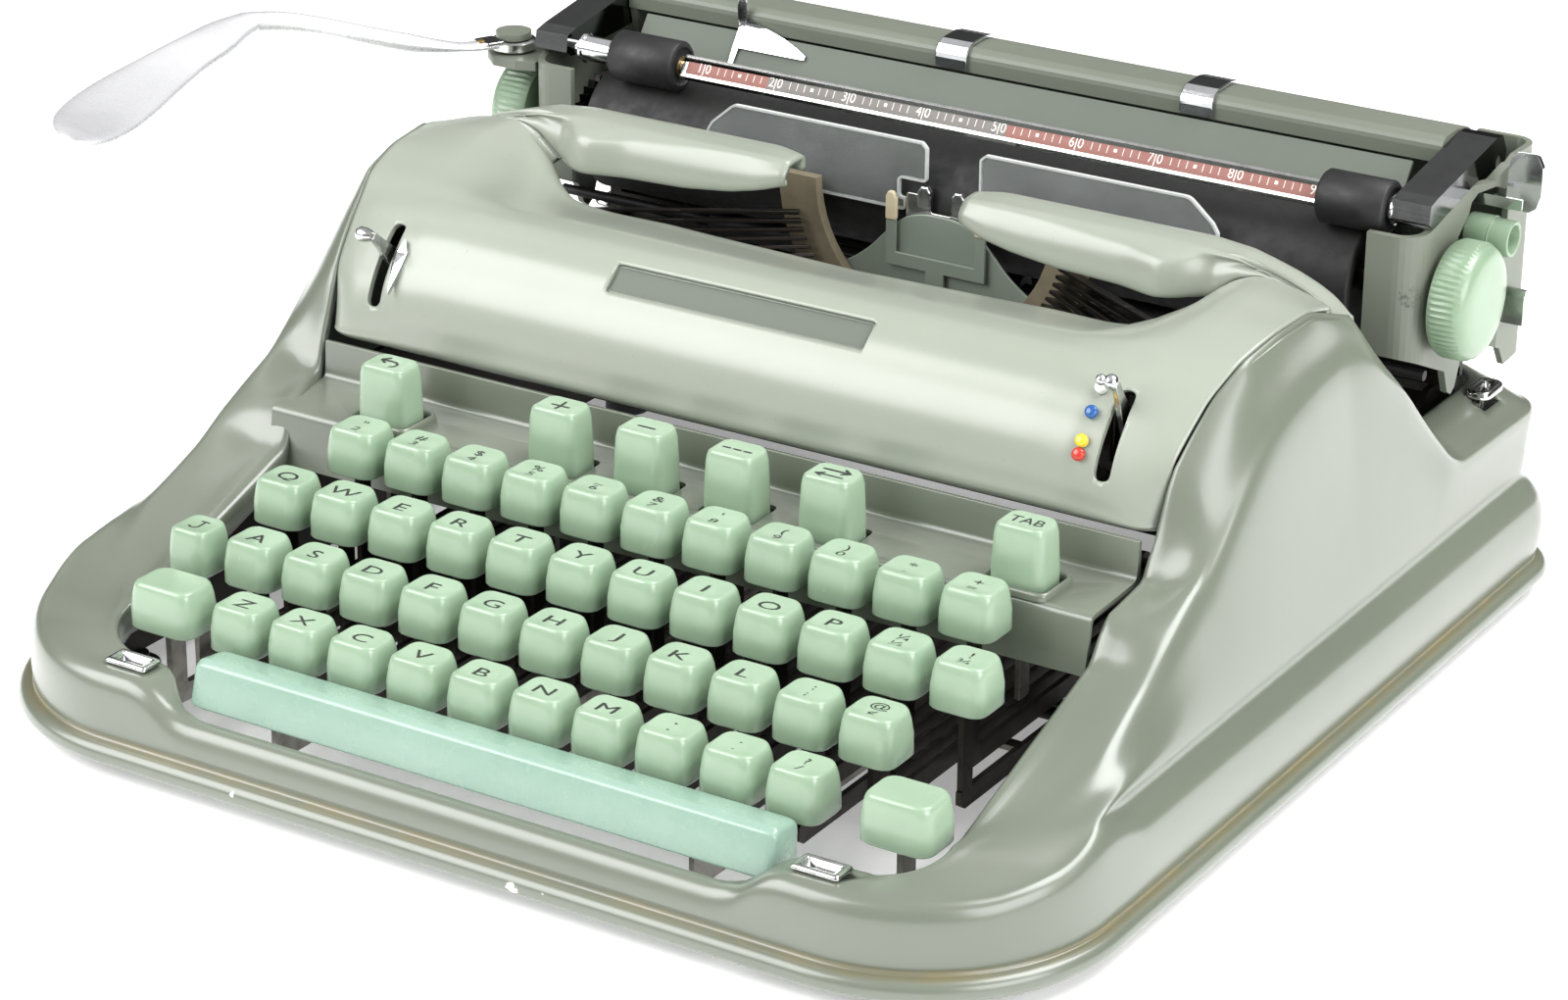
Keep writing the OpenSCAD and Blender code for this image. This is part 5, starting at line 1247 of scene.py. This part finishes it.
lathe("guide_eye", [(-0.2, 0), (-0.2, 1.7), (0.15, 1.7), (0.15, 0)], (0, 248.6, 94), "y", "chassis",
      "bright_chrome", black_rubber, 32)

# Clear card holders with bright rims: outline, and which of its corners is the wide one
RIM_PROUD = 0.15
CARDS = {"card_left": ([[-79, 98], [-11.8, 98], [-11.8, 101.6], [-14, 101.6], [-14, 107.4], [-5, 107.4],
                        [-5, 117.4], [-6.6, 119], [-70, 119], [-77.4, 112.6], [-79, 110]], 8),
         "card_right": ([[11.8, 98], [87, 98], [87, 110], [85.4, 112.6], [78, 119], [14, 119],
                         [12.2, 117.4], [12.2, 107.4], [14, 107.4], [14, 101.6], [11.8, 101.6]], 4)}
for name, (line, wide_corner) in CARDS.items():
    radii = [1.2] * len(line)
    radii[wide_corner] = 4
    edge = rounded(line, radii, 4)
    prism(name, edge, *CARD_Y, "y", "chassis", "clear_plastic", clear, 0.3)
    along = np.roll(edge, -1, 0) - np.roll(edge, 1, 0)
    inward = np.stack([-along[:, 1], along[:, 0]], 1) / np.linalg.norm(along, axis=1)[:, None]
    outer, inner = edge - inward * 0.12, edge + inward * 0.55
    front, rear = CARD_Y[0] - RIM_PROUD, CARD_Y[1] + RIM_PROUD
    sides = ((outer, front), (outer, rear), (inner, rear), (inner, front))
    rim = np.array([[(x, y, z) for x, z in row] for row, y in sides])
    n = len(edge)
    faces = [(r * n + k, r * n + (k + 1) % n, (r + 1) % 4 * n + (k + 1) % n, (r + 1) % 4 * n + k)
             for r in range(4) for k in range(n)]
    outward(add_mesh(name + "_rim", rim.reshape(-1, 3), faces, "chassis", "clear_plastic", card_edge,
                     True, 40))
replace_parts(bpy.data.objects["card_left"], "card_holders")

# Bone-coloured tips on the two ribbon posts
for x, tag in ((-14.6, "left"), (14.6, "right")):
    tip = rounded([[x - 1.7, 95.5], [x + 1.7, 95.5], [x + 1.7, 102.4], [x + 0.6, 104.0], [x - 0.9, 104.0],
                   [x - 1.7, 102.4]], 0.7, 4)
    prism(f"ribbon_post_tip_{tag}", tip, *TIP_Y, "y", "chassis", "bright_chrome", bone, 0.4)

# Paper guide: a sprung triangular blade beside a rounded finger
HALF_SPRING = 0.28
FINGER_X = -92
blade_path = np.array([(284.4, 123.2), (286.0, 125.4), (287.4, 127.3), (288.3, 128.6), (288.42, 130.0),
                       (288.42, 131.7)])
guide_rings = []
for x, share in ((-91.1, 1.0), (-86.5, 0.82), (-81.5, 0.62), (-76.5, 0.43), (-71.5, 0.24), (-68.0, 0.1)):
    row = [[np.interp(share * k, range(6), blade_path[:, c]) for c in (0, 1)] for k in range(6)]
    front = [(x, y - HALF_SPRING, z + 0.1) for y, z in row]
    rear = [(x, y + HALF_SPRING, z - 0.1) for y, z in row]
    guide_rings.append(front + rear[::-1])
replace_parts(lofted("guide_blade", guide_rings, "guide", *CHROME, 40), "paper_guide")
finger_path = [(280.9, 118.1, 0.7), (284.2, 122.8, 1.0), (287.4, 127.3, 1.0), (288.3, 128.6, 1.0),
               (288.42, 131.5, 1.5), (288.42, 134.5, 1.7), (288.42, 137.4, 1.1)]
finger_rings = [[(FINGER_X - w, y - HALF_SPRING, z), (FINGER_X, y - 0.5, z),
                 (FINGER_X + w, y - HALF_SPRING, z), (FINGER_X + w, y + HALF_SPRING, z),
                 (FINGER_X - w, y + HALF_SPRING, z)] for y, z, w in finger_path]
lofted("guide_finger", finger_rings, "guide", *CHROME, 50)

# Eased edges and finishes of the source's own solids
EASE = {"carriage_end_left": 0.5, "carriage_end_right": 0.5, "carriage_back": 0.3, "paper_table": 0.2,
        "rail_clips": 0.3, "paper_guide": 0.15, "paper_bail": 0.35, "paper_release_lever": 0.4,
        "carriage_release_lever": 0.4, "case_catches": 0.25, "small_knob": 0.5, "platen_shaft": 0.2,
        "ribbon_vibrator": 0.2, "type_segment": 0.3, "rubber_feet": 0.6, "cover_brackets": 0.2, "bell": 0.15,
        "mainspring_drum": 0.3, "ribbon_spool_left": 0.25, "ribbon_spool_right": 0.25, "main_frame": 0.3}

FINISH = {"case_paint": case_paint, "cover_paint": cover_paint, "carriage_paint": carriage_paint,
          "key_plastic": key_mint, "bar_plastic": bar_mint, "knob_plastic": knob_mint,
          "bright_chrome": chrome, "lever_steel": steel, "dark_steel": dark_steel,
          "black_rubber": black_rubber, "clear_plastic": clear, "dot_enamel": knob_mint}
LOOKS = {"paper_bail": dark_reflection_chrome, "paper_table": table_paint, "platen_shaft": dark_steel,
         "type_segment": ochre, "ribbon_vibrator": shield_paint, "carriage_release_lever": worn_chrome,
         "paper_guide": chrome, "cover_brackets": bar_black, "live_typebar": bar_black}
LOOKS.update({f"levers_{row}": bar_black for row, *_ in ROWS})
slots = {s["node"]: s["material_slot"] for s in frame["record"]["subparts"]}
for node, obj in frame["nodes"].items():
    obj.data.materials.clear()
    obj.data.materials.append(LOOKS.get(node, FINISH[slots[node]]))
    if node in EASE:
        modifier(obj, "WELD", merge_threshold=0.01 * MM)
        bevel(obj, EASE[node], 2, 38)


# Floor and light
def lay_floor():
    floor = bpy.data.meshes.new("floor")
    floor.from_pydata([(-6, -6, 0), (6, -6, 0), (6, 6, 0), (-6, 6, 0)], [], [(0, 1, 2, 3)])
    m = Nodes(bpy.data.materials.new("floor_finish"))
    m.shade(Base_Color=(0.93, 0.93, 0.925, 1), Roughness=0.9, Emission_Color=(1, 1, 1, 1),
            Emission_Strength=0.32)
    floor.materials.append(m.owner)
    put("floor", floor)


def build_studio():
    """Bright overhead and in front, dark towards the low rear, so that metal shows contrast."""
    studio = Nodes(bpy.data.worlds.new("studio"))
    split = studio.add("ShaderNodeSeparateXYZ", {0: studio.coords["Generated"]}).outputs
    high = studio.ramp(split["Z"], 0.42, 0.66)
    front = studio.ramp(studio.times(split["Y"], -1.0), 0.15, 0.55, 0.0, 0.5)
    lift = studio.ramp(split["Z"], 0.02, 0.2, 0.25, 1.0)
    glow = studio.math("MAXIMUM", high, studio.times(front, lift))
    back = studio.tree.nodes["Background"].inputs
    studio.feed(back["Color"], studio.math("ADD", studio.times(glow, 0.92), 0.08))
    studio.feed(back["Strength"], 0.62)
    bpy.context.scene.world = studio.owner


def softbox(name, location, target, size_x, size_y, power):
    data = bpy.data.lights.new(name, "AREA")
    data.shape = "RECTANGLE"
    data.size, data.size_y, data.energy = size_x, size_y, power
    obj = put(name, data)
    obj.location = location
    aim = Vector(target) - Vector(location)
    obj.rotation_euler = aim.to_track_quat("-Z", "Y").to_euler()


lay_floor()
build_studio()
softbox("hood_light", (-0.98, -1.05, 1.1), (0, -0.03, 0.1), 1.5, 1.3, 38)
softbox("shoulder_light", (0.75, 0.38, 1.4), (0.15, 0, 0.1), 1.0, 0.8, 24)
softbox("side_light", (1.7, -0.5, 0.75), (0.16, 0, 0.05), 1.2, 1.0, 22)
bpy.context.scene.view_settings.view_transform = "Standard"
